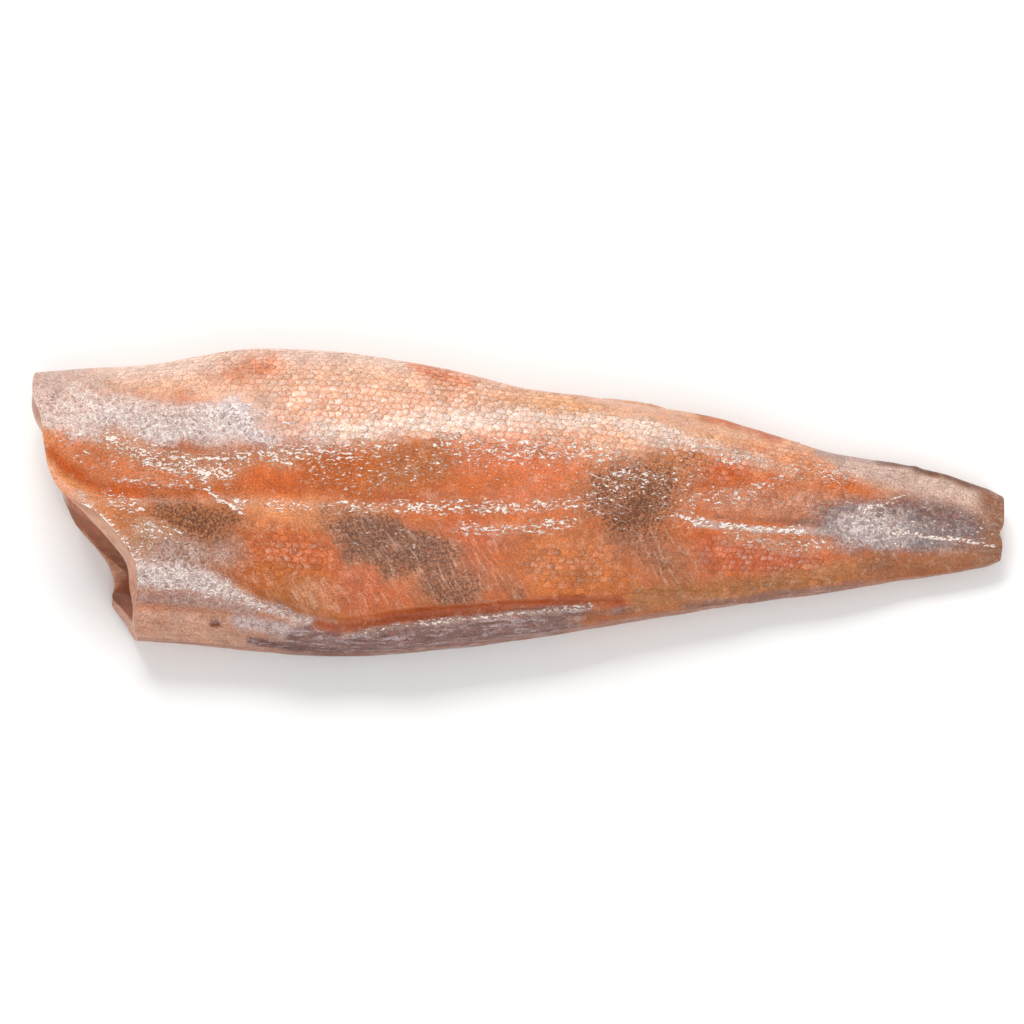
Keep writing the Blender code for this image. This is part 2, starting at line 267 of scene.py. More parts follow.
def ringAngles():  # 0 is the back, a half turn the belly; finer on the near flank
    fine = np.linspace(0.0, 2 * math.pi, 4097)
    near = 1.0 - ease(fine, math.pi, math.pi + fineness["nearFade"])
    density = 1.0 + fineness["nearShare"] * near
    density += (
        closer(fine, fineness["furrowHome"], fineness["furrowCloser"])
        + closer(fine, fineness["creaseHome"], fineness["creaseCloser"])
    )
    density += (
        closer(fine, 0.0, fineness["backCloser"])
        + closer(fine, 2 * math.pi, fineness["backCloser"])
    )
    run = np.concatenate([[0.0], np.cumsum(density[:-1])])
    return np.interp(np.arange(fineness["around"]) / fineness["around"] * run[-1], run, fine)


def sectionAngle(x, y):  # where the near flank passes y
    back, belly = smoothLine(outline["backLine"], x), smoothLine(outline["bellyLine"], x)
    widest = belly + outline["widestShare"] * (back - belly)
    share = np.clip((y - widest) / np.where(y > widest, back - widest, widest - belly), -1, 1)
    return np.arccos(np.sign(share) * np.abs(share) ** (1 / outline["edgeRoundness"]))


def followCreases(x, angle):  # mesh lines run along the side furrow and the belly crease
    homes = ((furrows["sideLine"], fineness["furrowHome"]), (furrows["creaseLine"], fineness["creaseHome"]))
    moved = angle.copy()
    for line, home in homes:
        moved += (sectionAngle(x, smoothLine(line, x)) - home) * bell(angle, home, fineness["homeReach"])
    return moved


def sideForms(x, y, near):
    f = furrows
    side = smoothLine(f["sideLine"], x)
    out = -smoothLine(f["sideDepth"], x) * bell(y, side, f["sideWidth"]) * ease(x, *f["sideStart"])
    out += f["lipRise"] * bell(y, side - f["lipOffset"], f["sideWidth"]) * ease(x, *f["lipStart"])
    collar = smoothLine(f["collarLine"], x)
    out -= f["collarDepth"] * bell(y, collar, f["collarWidth"]) * (1 - ease(x, *f["collarEnd"]))
    (finX, finY), (finLength, finWidth) = f["finHollowAt"], f["finHollowSize"]
    out -= f["finHollowDepth"] * bell(x, finX, finLength) * bell(y, finY, finWidth)
    throatFade = 1 - ease(x, *f["throatEnd"])
    out -= f["throatDepth"] * bell(y, smoothLine(f["throatLine"], x), f["throatWidth"]) * throatFade
    crease = smoothLine(f["creaseLine"], x)
    sharp = np.where(y > crease, f["creaseWidth"], 2 * f["creaseWidth"])
    out -= smoothLine(f["creaseDepth"], x) * bell(y, crease, sharp)
    below = np.clip(crease - y, 0.0, None)
    roll = f["rollRise"] * bell(below, f["rollWidth"], f["rollWidth"]) * ease(x, *f["rollStart"])
    return (out + roll * (1 - ease(x, *f["rollEnd"]))) * near


def lumps(x, y):
    waves = outline["lumps"]
    return sum(rise * np.sin(alongX * x + alongY * y + phase) for rise, alongX, alongY, phase in waves)


def bareSection(x, angle):
    o = outline
    back, belly = smoothLine(o["backLine"], x), smoothLine(o["bellyLine"], x)
    widest = belly + o["widestShare"] * (back - belly)
    side, rise = np.cos(angle), np.sin(angle)
    reach = np.where(side > 0, back - widest, widest - belly)
    y = widest + reach * np.sign(side) * np.abs(side) ** o["edgeRoundness"]
    share = (y - belly) / (back - belly)
    edgeBack, edgeBelly = smoothLine(o["backEdgeHeight"], x), smoothLine(o["bellyEdgeHeight"], x)
    middle = edgeBelly + (edgeBack - edgeBelly) * share
    upper = (smoothLine(o["flankTop"], x) - middle) * (1 - o["bellyThinning"] * (1 - share) ** 2)
    under = middle + o["tablePress"] - smoothLine(o["tailLift"], x)
    z = middle + np.where(
        rise > 0,
        upper * np.abs(rise) ** o["edgeRoundness"],
        -under * np.abs(rise) ** o["undersideRoundness"],
    )
    return y, z, np.clip((y - widest) / reach, -1, 1), rise


def skinSection(x, angle):
    f = furrows
    y, z, outwards, rise = bareSection(x, angle)
    near = ease(rise, *outline["flankFade"])
    out = sideForms(x, y, near) + lumps(x, y) * near
    lean = outwards**3
    z = z + out * np.sqrt(1 - lean**2)
    y = y + out * lean
    turn = np.where(angle > math.pi, angle - 2 * math.pi, angle)
    y = y - smoothLine(f["backDepth"], x) * bell(turn, f["backAngle"], f["backSpread"])
    y = y + smoothLine(f["lipLine"], x) * bell(turn, f["lipAngle"], f["lipSpread"])
    return y, np.maximum(z, 0.0)


def nearHeight(x, y):
    return bareSection(x, sectionAngle(x, y))[1]


def headCutX(x, y, z):
    h = headCut
    height = nearHeight(x, y)
    depthShare = np.clip((height - z) / (h["fullLeadShare"] * height), 0.0, 1.0)
    return smoothLine(h["edgeX"], y) - smoothLine(h["farLead"], y) * depthShare


def neckBulge(ring):  # flesh stands out just below the skin of the nape
    h = headCut
    x, y, z = ring.T
    depth = np.clip(nearHeight(x, y) - z, 0.0, None) / h["bulgeDepth"]
    return h["neckBulge"] * depth * np.exp(1 - depth) * bell(y, h["bulgeY"], h["bulgeWidth"])


def settle(section, rings, endX, tailLean):  # rings that lean near the head as the cut does
    angle = np.tile(ringAngles(), (rings + 1, 1))
    share = (np.arange(rings + 1) / rings)[:, None]
    start = headCut["startX"]
    nominal = start + (endX - start) * share
    follow = 1 - ease(nominal, start, start + headCut["blend"])
    x = np.broadcast_to(nominal, angle.shape).copy()
    for _ in range(fineness["settling"]):
        y, z = section(x, angle)
        lean = tailLean * (y - tailCut["axisY"]) * ease(nominal, tailCut["leanFromX"], tailCut["x"])
        x = nominal + follow * (headCutX(x, y, z) - start) + lean
    return np.stack([x, y, z], axis=2)


def skinRings():
    def section(x, angle):
        return skinSection(x, followCreases(x, angle))

    rings = settle(section, fineness["along"], tailCut["x"], tailCut["lean"])
    middle = rings[-1].mean(axis=0)
    for backBy, drawIn in tailCut["drawIn"]:
        ring = rings[-1 - backBy]
        ring[:, 1:] += (middle[1:] - ring[:, 1:]) * drawIn
    return rings


def hollowSection(x, angle):
    h = hollow
    roof, floor = smoothLine(h["roof"], x), smoothLine(outline["bellyLine"], x) + h["wall"]
    side, rise = np.cos(angle), np.sin(angle)
    y = 0.5 * (roof + floor) + 0.5 * (roof - floor) * np.sign(side) * np.abs(side) ** h["heightRoundness"]
    halfGap = smoothLine(h["halfGap"], x) * (1 - h["narrowing"] * ease(-side, 0.0, 1.0))
    z = smoothLine(h["middle"], x) + halfGap * np.sign(rise) * np.abs(rise) ** h["gapRoundness"]
    ribs = h["ribRise"] * np.cos(2 * math.pi * (x + 0.45 * (roof - y)) / h["ribPitch"])
    return y, z - ribs * np.sign(rise) * np.abs(rise)


def gridNormals(rings):
    alongStep = np.gradient(rings, axis=0)
    aroundStep = np.roll(rings, -1, axis=1) - np.roll(rings, 1, axis=1)
    normal = np.cross(alongStep, aroundStep)
    normal /= np.linalg.norm(normal, axis=2, keepdims=True) + 1e-12
    outward = rings - rings.mean(axis=1, keepdims=True)
    flip = np.sign((normal * outward).sum(axis=2).mean())
    return normal * flip


def pictureSpot(points):  # the column and row at which the camera sees each point
    tilt = math.radians(photo["elevation"])
    back = np.array([0.0, -math.cos(tilt), math.sin(tilt)])
    up = np.array([0.0, math.sin(tilt), math.cos(tilt)])
    spread = photo["lens"] / photo["sensor"] * photo["pixels"]
    away = points - (np.array(photo["aim"]) + back * cameraDistance())
    depth = -(away @ back)
    half = photo["pixels"] / 2
    return half + away[..., 0] / depth * spread, half - (away @ up) / depth * spread


def cameraDistance():
    return photo["pixels"] * photo["metresPerPixel"] * photo["lens"] / photo["sensor"]


# The skin's looks: patches at spots of the photograph, laid over each other in this order.
# at, size and ragged are in pixels, turn in degrees downwards to the right, tint in 0 to 255.
# A patch with bare clears the other looks first; one without a tint changes only the looks it names.
# Looks that paint glints put painted highlights of the wet film into the colour; the silvery looks are
# partly the skin's own silvery colour and partly painted sheen.
patches = {
    "backPeach": {"at": (400, 372), "size": (540, 52), "turn": 9, "tint": (246, 203, 177), "edge": 0.45,
                  "cells": 0.5, "scaly": 0.55},
    "backWarm": {"at": (735, 432), "size": (215, 19), "turn": 14, "tint": (240, 180, 138), "edge": 0.6,
                 "cells": 0.2, "scaly": 0.4},
    "upperLeft": {"at": (180, 378), "size": (110, 17), "turn": -5, "tint": (242, 193, 166), "edge": 0.8,
                  "cells": 0.35, "paintedGlint": 0.25, "scaly": 0.45},
    "topBand": {"line": ((80, 376), (170, 368), (260, 356), (340, 354), (440, 366)), "size": (10,),
                "tint": (248, 213, 196), "edge": 0.8, "cells": 0.1},
    "headTop": {"at": (62, 388), "size": (46, 24), "turn": 0, "tint": (216, 183, 168), "edge": 0.5,
                "silverSheen": 0.45, "scaly": 0.0},
    "silverLeft": {"at": (115, 418), "size": (95, 26), "turn": 6, "tint": (228, 192, 176), "edge": 0.4,
                   "silverSheen": 0.8, "ragged": 9, "paintedGlint": 0.4},
    "silverPatch": {"at": (268, 424), "size": (84, 24), "turn": 5, "tint": (216, 200, 198), "edge": 0.45,
                    "silverSheen": 1.0, "ragged": 9, "cells": 0.2},
    "silverMiddle": {"at": (175, 426), "size": (60, 20), "turn": 3, "tint": (214, 190, 180), "edge": 0.6,
                     "silverSheen": 0.85, "ragged": 9},
    "backScales": {"line": ((290, 405), (340, 408), (440, 405), (540, 411), (620, 421)), "size": (28,),
                   "tint": (234, 176, 146), "edge": 0.9, "ragged": 12, "scaly": 0.85, "cells": 0.2},
    # painted sheen: a pale band of highlight over the back's scales
    "backSheen": {"line": ((322, 430), (350, 434), (380, 428), (448, 421), (520, 417), (610, 417),
                            (672, 435)),
                   "size": (11,), "tint": (248, 218, 202), "edge": 0.9, "scaly": 1.0, "ragged": 9,
                   "paintedGlint": 0.45},
    # painted sheen: the same band of highlight towards the tail
    "backSheenTail": {"line": ((672, 443), (725, 455), (775, 458), (838, 472)), "size": (10,),
                       "tint": (248, 216, 200), "edge": 0.9, "scaly": 0.9, "ragged": 8, "paintedGlint": 0.9},
    "backBlush": {"at": (255, 368), "size": (42, 14), "turn": -8, "tint": (226, 146, 110), "edge": 0.7,
                  "ragged": 9},
    "backBlushTwo": {"at": (436, 373), "size": (26, 7), "turn": 14, "tint": (224, 134, 92), "edge": 0.8},
    "backGold": {"at": (566, 404), "size": (48, 9), "turn": 6, "tint": (240, 180, 134), "edge": 0.8,
                 "scaly": 0.5},
    "underSilver": {"at": (230, 476), "size": (140, 16), "turn": 0, "tint": (210, 124, 78), "edge": 0.6},
    "greyGap": {"line": ((146, 449), (180, 450), (222, 452), (300, 447)), "size": (5,),
                "tint": (190, 120, 92), "edge": 0.9},
    "wrinkleBand": {"line": ((112, 440), (146, 458), (190, 468), (232, 466), (300, 456)), "size": (13,),
                    "tint": (206, 142, 108), "edge": 0.7, "paintedGlint": 0.72, "silverSheen": 0.25},
    "collar": {"line": ((43, 446), (56, 474), (80, 500), (108, 532), (126, 560)), "size": (19,),
               "tint": (224, 148, 100), "edge": 0.4, "bare": 1.0},
    "collarRim": {"line": ((45, 450), (52, 476), (72, 498), (92, 512), (112, 534), (130, 562)),
                  "size": (6,), "tint": (230, 160, 122), "edge": 0.6, "bare": 1.0},
    # painted highlight along the rim of the collar
    "collarRimHighlight": {"line": ((78, 496), (92, 507), (108, 522), (124, 541), (136, 558)), "size": (5,),
                    "tint": (238, 186, 160), "edge": 0.8, "paintedGlint": 0.9, "silverSheen": 0.3},
    "collarShade": {"line": ((54, 452), (67, 466), (82, 478), (98, 488), (116, 492)), "size": (5,),
                    "tint": (207, 104, 50), "edge": 0.8, "bare": 1.0},
    "collarSkin": {"line": ((62, 440), (92, 460), (128, 476), (190, 484)), "size": (11,),
                   "tint": (216, 132, 92), "edge": 0.8, "paintedGlint": 0.35},
    "cheek": {"at": (128, 516), "size": (46, 22), "turn": 20, "tint": (216, 138, 92), "edge": 0.5,
              "paintedGlint": 0.2},
    "sideFurrow": {"line": ((105, 491), (180, 493), (235, 493), (290, 492), (350, 499), (400, 497),
                            (430, 490)),
                   "size": (7,), "tint": (208, 104, 44), "edge": 0.8, "bare": 1.0},
    "finOrange": {"at": (296, 480), "size": (56, 16), "turn": 3, "tint": (215, 114, 62), "edge": 0.7,
                  "bare": 0.9},
    "olive": {"at": (360, 474), "size": (56, 24), "turn": 0, "tint": (196, 106, 44), "edge": 0.6,
              "paintedGlint": 0.42, "ragged": 9},
    "midPink": {"at": (505, 468), "size": (78, 30), "turn": 0, "tint": (224, 130, 90), "edge": 0.6,
                "paintedGlint": 0.25},
    "midPale": {"at": (478, 484), "size": (40, 12), "turn": 0, "tint": (214, 120, 70), "edge": 0.8},
    "upperFlecks": {"line": ((272, 453), (310, 453), (350, 448), (388, 446)), "size": (9,), "edge": 0.9,
                    "paintedGlint": 0.85},
    "goldMiddle": {"at": (402, 484), "size": (36, 9), "turn": 0, "tint": (202, 110, 46), "edge": 0.9},
    "midFlecks": {"line": ((440, 446), (500, 450), (560, 450), (610, 452)), "size": (12,), "edge": 0.7,
                  "paintedGlint": 0.85},
    "furrowFlecks": {"line": ((392, 507), (450, 507), (500, 509), (578, 504), (640, 513), (690, 520)),
                     "size": (6,), "edge": 0.9, "paintedGlint": 1.0},
    "furrowLow": {"line": ((236, 503), (300, 507), (360, 507), (400, 506)), "size": (5,), "edge": 0.9,
                  "tint": (214, 132, 90), "paintedGlint": 0.85},
    "furrowBeads": {"line": ((112, 480), (150, 484), (206, 485)), "size": (4,), "edge": 0.9,
                    "paintedGlint": 0.8},
    "lowFlecks": {"line": ((108, 498), (136, 506)), "size": (7,), "edge": 0.9, "paintedGlint": 0.9},
    "lowerFlecks": {"line": ((455, 528), (500, 530), (570, 524)), "size": (6,), "edge": 0.9,
                    "paintedGlint": 0.9},
    "paleKnob": {"at": (502, 530), "size": (13, 9), "turn": 0, "tint": (236, 160, 122), "edge": 0.8},
    "bellyPale": {"at": (290, 514), "size": (66, 16), "turn": 4, "tint": (246, 166, 118), "edge": 0.8},
    "bellyRed": {"at": (290, 554), "size": (64, 26), "turn": 10, "tint": (217, 116, 60), "edge": 0.8,
                 "rays": 0.3, "cells": 0.55, "scaly": 0.6},
    "bellyYellow": {"at": (300, 596), "size": (90, 24), "turn": 16, "tint": (200, 124, 72), "edge": 0.6,
                    "rays": 0.6},
    "bellyOrange": {"at": (247, 567), "size": (27, 16), "turn": 25, "tint": (200, 112, 58), "edge": 0.9,
                    "cells": 0.5},
    "bellyFeathers": {"at": (320, 594), "size": (30, 11), "turn": 8, "tint": (220, 152, 112), "edge": 0.7,
                      "rays": 1.0},
    "salmonLow": {"at": (488, 560), "size": (52, 32), "turn": 30, "tint": (212, 108, 60), "edge": 0.6,
                  "rays": 0.8},
    "yellowLow": {"at": (568, 566), "size": (66, 34), "turn": 0, "tint": (212, 126, 66), "edge": 0.6,
                  "rays": 0.4, "scaly": 0.5},
    "redLeft": {"at": (366, 590), "size": (36, 30), "turn": 40, "tint": (216, 120, 78), "edge": 0.8,
                "rays": 0.8},
    "redBack": {"at": (722, 472), "size": (42, 17), "turn": 8, "tint": (210, 106, 54), "edge": 0.8,
                "scaly": 0.5},
    "redBackTail": {"at": (800, 462), "size": (60, 12), "turn": 16, "tint": (238, 162, 122), "edge": 0.8,
                    "paintedGlint": 0.2, "scaly": 0.5},
    "redLow": {"at": (750, 556), "size": (90, 25), "turn": 6, "tint": (202, 104, 56), "edge": 0.8,
               "rays": 0.5, "scaly": 0.55},
    "tailOrange": {"at": (840, 480), "size": (26, 12), "turn": 8, "tint": (216, 116, 56), "edge": 0.7,
                   "scaly": 0.45},
    "tailPink": {"at": (785, 504), "size": (92, 14), "turn": 3, "tint": (206, 142, 114), "edge": 0.6,
                 "cells": 0.6, "paintedGlint": 0.15, "scaly": 0.5},
    "tailFlecks": {"line": ((692, 500), (740, 494), (800, 470), (840, 474)), "size": (7,), "edge": 0.9,
                   "paintedGlint": 0.75},
    "firstBar": {"at": (192, 525), "size": (48, 29), "turn": 14, "tint": (158, 102, 72), "edge": 0.85,
                 "ragged": 11, "bar": 0.95},
    "firstBarLow": {"at": (188, 556), "size": (50, 20), "turn": 6, "tint": (182, 142, 128), "edge": 0.6,
                    "ragged": 9, "silverSheen": 0.55, "bar": 0.55},
    "firstBarFlecks": {"at": (155, 531), "size": (24, 9), "turn": 12, "tint": (214, 168, 144),
                       "edge": 0.8, "paintedGlint": 0.9, "bar": 0.2},
    "firstBarSide": {"at": (140, 550), "size": (18, 18), "turn": 0, "tint": (196, 150, 124), "edge": 0.8,
                     "paintedGlint": 0.6, "bar": 0.3},
    "secondBar": {"at": (422, 562), "size": (98, 27), "turn": 28, "tint": (176, 112, 82), "edge": 0.5,
                  "ragged": 11, "bar": 0.85, "rays": 0.9},
    "secondBarDark": {"at": (393, 539), "size": (56, 17), "turn": 14, "tint": (152, 94, 68), "edge": 0.7,
                      "ragged": 9, "bar": 1.0, "paintedGlint": 0.25},
    "secondBarHead": {"at": (365, 547), "size": (21, 18), "turn": 30, "tint": (144, 88, 58), "edge": 0.8,
                      "ragged": 9, "bar": 1.0, "paintedGlint": 0.2},
    "secondBarTop": {"at": (412, 466), "size": (36, 22), "turn": -12, "tint": (186, 108, 54), "edge": 0.7,
                     "ragged": 9, "bar": 0.45, "paintedGlint": 0.45},
    "thirdBar": {"at": (636, 488), "size": (60, 33), "turn": -10, "tint": (188, 124, 94), "edge": 0.5,
                 "ragged": 12, "bar": 0.85, "paintedGlint": 0.75},
    "thirdBarTop": {"at": (684, 458), "size": (32, 13), "turn": -6, "tint": (198, 124, 80), "edge": 0.6,
                    "ragged": 9, "bar": 0.7, "paintedGlint": 0.3},
    "thirdBarCore": {"at": (634, 523), "size": (38, 33), "turn": 20, "tint": (158, 94, 64), "edge": 0.7,
                     "ragged": 10, "bar": 1.0, "paintedGlint": 0.2},
    "thirdBarLow": {"at": (665, 560), "size": (34, 20), "turn": 40, "tint": (184, 114, 78), "edge": 0.7,
                    "ragged": 9, "bar": 0.6, "rays": 1.0},
    "silverLow": {"line": ((138, 574), (180, 578), (222, 590)), "size": (13,), "tint": (206, 180, 174),
                  "edge": 0.6, "ragged": 8, "silverSheen": 1.0, "paintedGlint": 0.75},
    "silverLowEnd": {"line": ((222, 592), (262, 607), (300, 621), (332, 629)), "size": (7,),
                     "tint": (190, 160, 150), "edge": 0.8, "ragged": 6, "silverSheen": 0.9, "paintedGlint": 0.7},
    "silverShade": {"line": ((140, 598), (180, 600), (222, 604), (250, 612)), "size": (8,),
                    "tint": (176, 138, 128), "edge": 0.8, "ragged": 5, "silverSheen": 0.5, "bar": 0.3},
    "pinkRoll": {"line": ((136, 624), (190, 628), (250, 633), (300, 642)), "size": (18,),
                 "tint": (210, 160, 136), "edge": 0.4, "bare": 1.0, "ragged": 4, "wrinkled": 0.35},
    "rollSilver": {"line": ((240, 621), (280, 630), (330, 640)), "size": (8,), "tint": (196, 168, 164),
                   "edge": 0.7, "silverSheen": 0.6, "wrinkled": 0.6, "ragged": 5},
    # painted shade: the belly's pale skin is painted a darker grey where it turns away from the light
    "greyBand": {"line": ((300, 640), (350, 644), (430, 634), (510, 626), (575, 616)), "size": (15,),
                 "tint": (140, 110, 106), "edge": 0.3, "bare": 1.0, "ragged": 4, "wrinkled": 1.0},
    # painted highlight along the top edge of the grey band
    "greyBandHighlight": {"line": ((345, 636), (400, 624), (461, 620), (535, 613), (589, 607)), "size": (3.5,),
                  "tint": (184, 156, 148), "edge": 0.9, "wrinkled": 1.0, "paintedGlint": 0.5, "ragged": 4},
    # painted shade: darkest along the bottom edge, where the belly turns under
    "greyLow": {"line": ((250, 641), (300, 650), (350, 655), (420, 654), (480, 648), (560, 636)),
                "size": (5,), "tint": (106, 74, 72), "edge": 0.8, "bare": 1.0, "wrinkled": 0.7},
    "greyTaper": {"line": ((570, 619), (610, 614), (648, 608)), "size": (5,), "tint": (152, 116, 104),
                  "edge": 0.8, "wrinkled": 0.7, "ragged": 4},
    "lowBrown": {"line": ((590, 622), (640, 620), (700, 610), (760, 602)), "size": (9,),
                 "tint": (178, 112, 76), "edge": 0.6, "bare": 1.0},
    # painted crease shade along the edge of the flank's flap
    "lowEdgeShade": {"line": ((318, 624), (342, 628), (400, 617), (480, 607), (560, 601), (620, 600)),
                     "size": (5,), "tint": (180, 92, 48), "edge": 0.9, "bare": 0.6},
    "lowYellow": {"line": ((640, 598), (700, 594), (780, 582), (840, 572), (890, 566)), "size": (11,),
                  "tint": (190, 126, 78), "edge": 0.7, "rays": 0.4, "bar": 0.14, "scaly": 0.4},
    "lowLilac": {"line": ((690, 607), (740, 601), (800, 594), (860, 586)), "size": (5,),
                 "tint": (156, 116, 102), "edge": 0.7, "bare": 1.0},
    # painted highlight along the tail ridge
    "tailSheen": {"line": ((698, 523), (757, 530), (830, 532)), "size": (4,), "tint": (222, 182, 166),
                 "edge": 0.9, "silverSheen": 0.5, "paintedGlint": 0.8},
    "tailShade": {"line": ((716, 517), (768, 520), (830, 524), (850, 526)), "size": (2.5,),
                  "tint": (166, 106, 78), "edge": 0.9, "ragged": 4},
    # painted highlight, the lower side of the tail's band of sheen
    "tailSheenLow": {"line": ((730, 536), (778, 544), (850, 546)), "size": (8,), "tint": (204, 134, 100),
                    "edge": 0.9, "paintedGlint": 0.6, "silverSheen": 0.3, "cells": 0.4},
    "tailSilver": {"at": (908, 527), "size": (92, 28), "turn": 4, "tint": (127, 120, 124), "edge": 0.45,
                   "ragged": 9, "silverSheen": 0.5, "paintedGlint": 0.3},
    "tailSilverHead": {"at": (874, 524), "size": (32, 15), "turn": 6, "tint": (162, 148, 147),
                       "edge": 0.7, "ragged": 9, "silverSheen": 0.85, "paintedGlint": 0.45},
    "tailPurple": {"at": (948, 512), "size": (46, 20), "turn": 8, "tint": (116, 96, 98), "edge": 0.8,
                   "ragged": 8, "silverSheen": 0.35, "bar": 0.2},
    "tailTop": {"line": ((850, 462), (900, 476), (950, 489), (996, 504)), "size": (14,),
                "tint": (222, 194, 182), "edge": 0.7, "cells": 0.3, "silverSheen": 0.25},
    "topEdge": {"line": ((818, 452), (850, 455), (905, 465)), "size": (5,), "tint": (188, 160, 152),
                "edge": 0.9, "bare": 1.0, "silverSheen": 0.3},
    "topEdgeDark": {"line": ((880, 458), (940, 472), (1003, 494)), "size": (5,), "tint": (122, 86, 70),
                    "edge": 0.8, "bare": 1.0},
    "tailLow": {"line": ((872, 574), (920, 568), (980, 561), (1004, 553)), "size": (13,),
                "tint": (166, 108, 74), "edge": 0.6, "bar": 0.25},
    "tailEnd": {"line": ((996, 498), (998, 530), (996, 556)), "size": (16,), "tint": (143, 110, 92),
                "edge": 0.8, "ragged": 7, "silverSheen": 0.15, "cells": 0.4},
    "lipPale": {"line": ((585, 398), (640, 410), (700, 425), (770, 441)), "size": (7,),
                "tint": (240, 186, 156), "edge": 0.7, "bare": 1.0, "wrinkled": 0.5},
    "backFlesh": {"line": ((706, 417), (740, 424), (778, 436)), "size": (5,), "tint": (208, 112, 56),
                  "edge": 0.9, "bare": 1.0, "wrinkled": 0.4},
    "foldLine": {"line": ((109, 438), (141, 455), (206, 459), (262, 454), (310, 446)), "size": (2.2,),
                 "edge": 0.9, "paintedGlint": 1.25, "ragged": 3},
    "foldLineLow": {"line": ((120, 451), (150, 465), (200, 473), (228, 473)), "size": (3,), "edge": 0.9,
                    "paintedGlint": 1.2, "ragged": 5},
    "veeCrease": {"line": ((202, 476), (209, 488), (218, 500), (243, 513)), "size": (2.0,), "edge": 0.8,
                  "paintedGlint": 1.6, "ragged": 1.5},
    "veeCreaseShort": {"line": ((219, 461), (225, 476), (229, 490)), "size": (1.8,), "edge": 0.9,
                       "paintedGlint": 1.35, "ragged": 1.5},
    "collarGlint": {"line": ((86, 504), (103, 517), (118, 535), (131, 557)), "size": (2.4,), "edge": 0.9,
                    "paintedGlint": 1.35, "ragged": 2},
    "tailGlint": {"line": ((696, 521), (757, 529), (800, 531)), "size": (2.4,), "edge": 0.9, "paintedGlint": 1.3,
                  "ragged": 2},
    "tailFan": {"line": ((861, 511), (885, 503), (910, 493)), "size": (1.8,), "edge": 0.9, "paintedGlint": 1.4,
                "ragged": 1.5},
    "tailFanLow": {"line": ((895, 531), (930, 537), (960, 540), (994, 546)), "size": (1.8,), "edge": 0.9,
                   "paintedGlint": 1.5, "ragged": 1.5},
    "bandGlint": {"line": ((395, 624), (461, 619), (535, 612), (590, 606)), "size": (1.8,), "edge": 0.9,
                  "paintedGlint": 1.05, "ragged": 2},
    "bellySpot": {"at": (216, 624), "size": (5, 2.5), "turn": 0, "tint": (128, 66, 46), "edge": 0.6,
                  "ragged": 2},
    "cutMark": {"line": ((51, 399), (56, 394), (61, 391)), "size": (2,), "tint": (130, 82, 62),
                "edge": 0.7, "ragged": 1},
}
painting = {
    "base": (212, 123, 76),
    "haze": (0.030, 0.052, 0.066),  # the light that the wet film adds, taken off the painted colour
    "hazeOnset": 0.12,
    "depth": 0.86,
    "ragged": 6,  # pixels that a patch's edge wanders, where it names none
    "raggedLump": 26,
    "clouds": (0.12, 20),  # strength, and size in pixels
    "mottles": (0.08, 7),
    "darkest": 0.012,
    "nearAngles": (math.pi + 0.15, 2 * math.pi - 0.25),  # where the near flank ends and begins again
    "farShift": 16.0,  # pixels that the pattern is moved along on the far flank
}
looksNames = ("silverSheen", "bar", "paintedGlint", "rays", "cells", "scaly", "wrinkled")

# The steep edges that the photograph hides or hardly shows.
steepEdges = {
    "back": {"side": 1.0, "tint": (232, 176, 146), "strength": 1.0, "below": 0.1, "cells": 0.9},
    "belly": {"side": -1.0, "tint": (164, 116, 96), "strength": 0.65, "below": 0.010, "wrinkled": 0.6},
}
steepness = {
    "upright": (0.22, 0.42),  # the normal's share in Z, Y and around at which an edge counts as steep
    "sideways": (0.2, 0.6),
    "around": (0.0, 0.2),
    "belowFade": 0.003,
    "plain": (0.90, 0.14),  # shade, and how far it varies
    "plainLump": 0.009,
}

relief = {
    "bodyWaves": ((0.014, 0.00022), (0.006, 0.00010)),  # lump size, rise
    "bandWrinkle": (0.016, 0.0011, 0.00042),  # length, width, rise
    "tailWrinkle": (0.022, 0.0016, 0.00018),
    "ridges": {  # pixels: the line, its width, and its rise in metres
        "finRidge": (
            ((106, 437), (135, 449), (160, 457), (206, 459), (260, 454), (330, 444)), 3.0, 0.00060,
        ),
        "finRidgeLow": (((150, 452), (185, 467), (215, 474), (250, 468)), 3.0, 0.00045),
        "cornerCrease": (((202, 474), (213, 490), (222, 501), (243, 514)), 2.6, 0.00055),
        "midRidge": (((300, 462), (380, 452), (460, 440), (540, 446)), 6.0, 0.00035),
        "tailRidge": (((700, 522), (780, 529), (850, 531), (960, 545)), 3.5, 0.00050),
        "tailFan": (((862, 490), (890, 478), (922, 464)), 3.0, 0.00045),
        "tailFanLow": (((880, 520), (940, 532), (985, 541)), 3.0, 0.00035),
        "topSeam": (((60, 379), (120, 377), (180, 371)), 2.2, -0.00025),
    },
    "ridgeLump": 9,  # pixels
    "ridgeEvenness": 0.75,
    "tailWrinkleColumns": (760, 900),
    "tableFree": (0.0012, 0.0040),  # nothing stands out where the fish lies on the table
    "headRings": 3,
    "notchRings": 9,
}


def distanceToLine(column, row, line):
    best = np.full(np.shape(column), 1e9)
    for (c0, r0), (c1, r1) in zip(line, line[1:]):
        dc, dr = c1 - c0, r1 - r0
        t = np.clip(((column - c0) * dc + (row - r0) * dr) / (dc * dc + dr * dr), 0.0, 1.0)
        best = np.minimum(best, np.hypot(column - c0 - t * dc, row - r0 - t * dr))
    return best


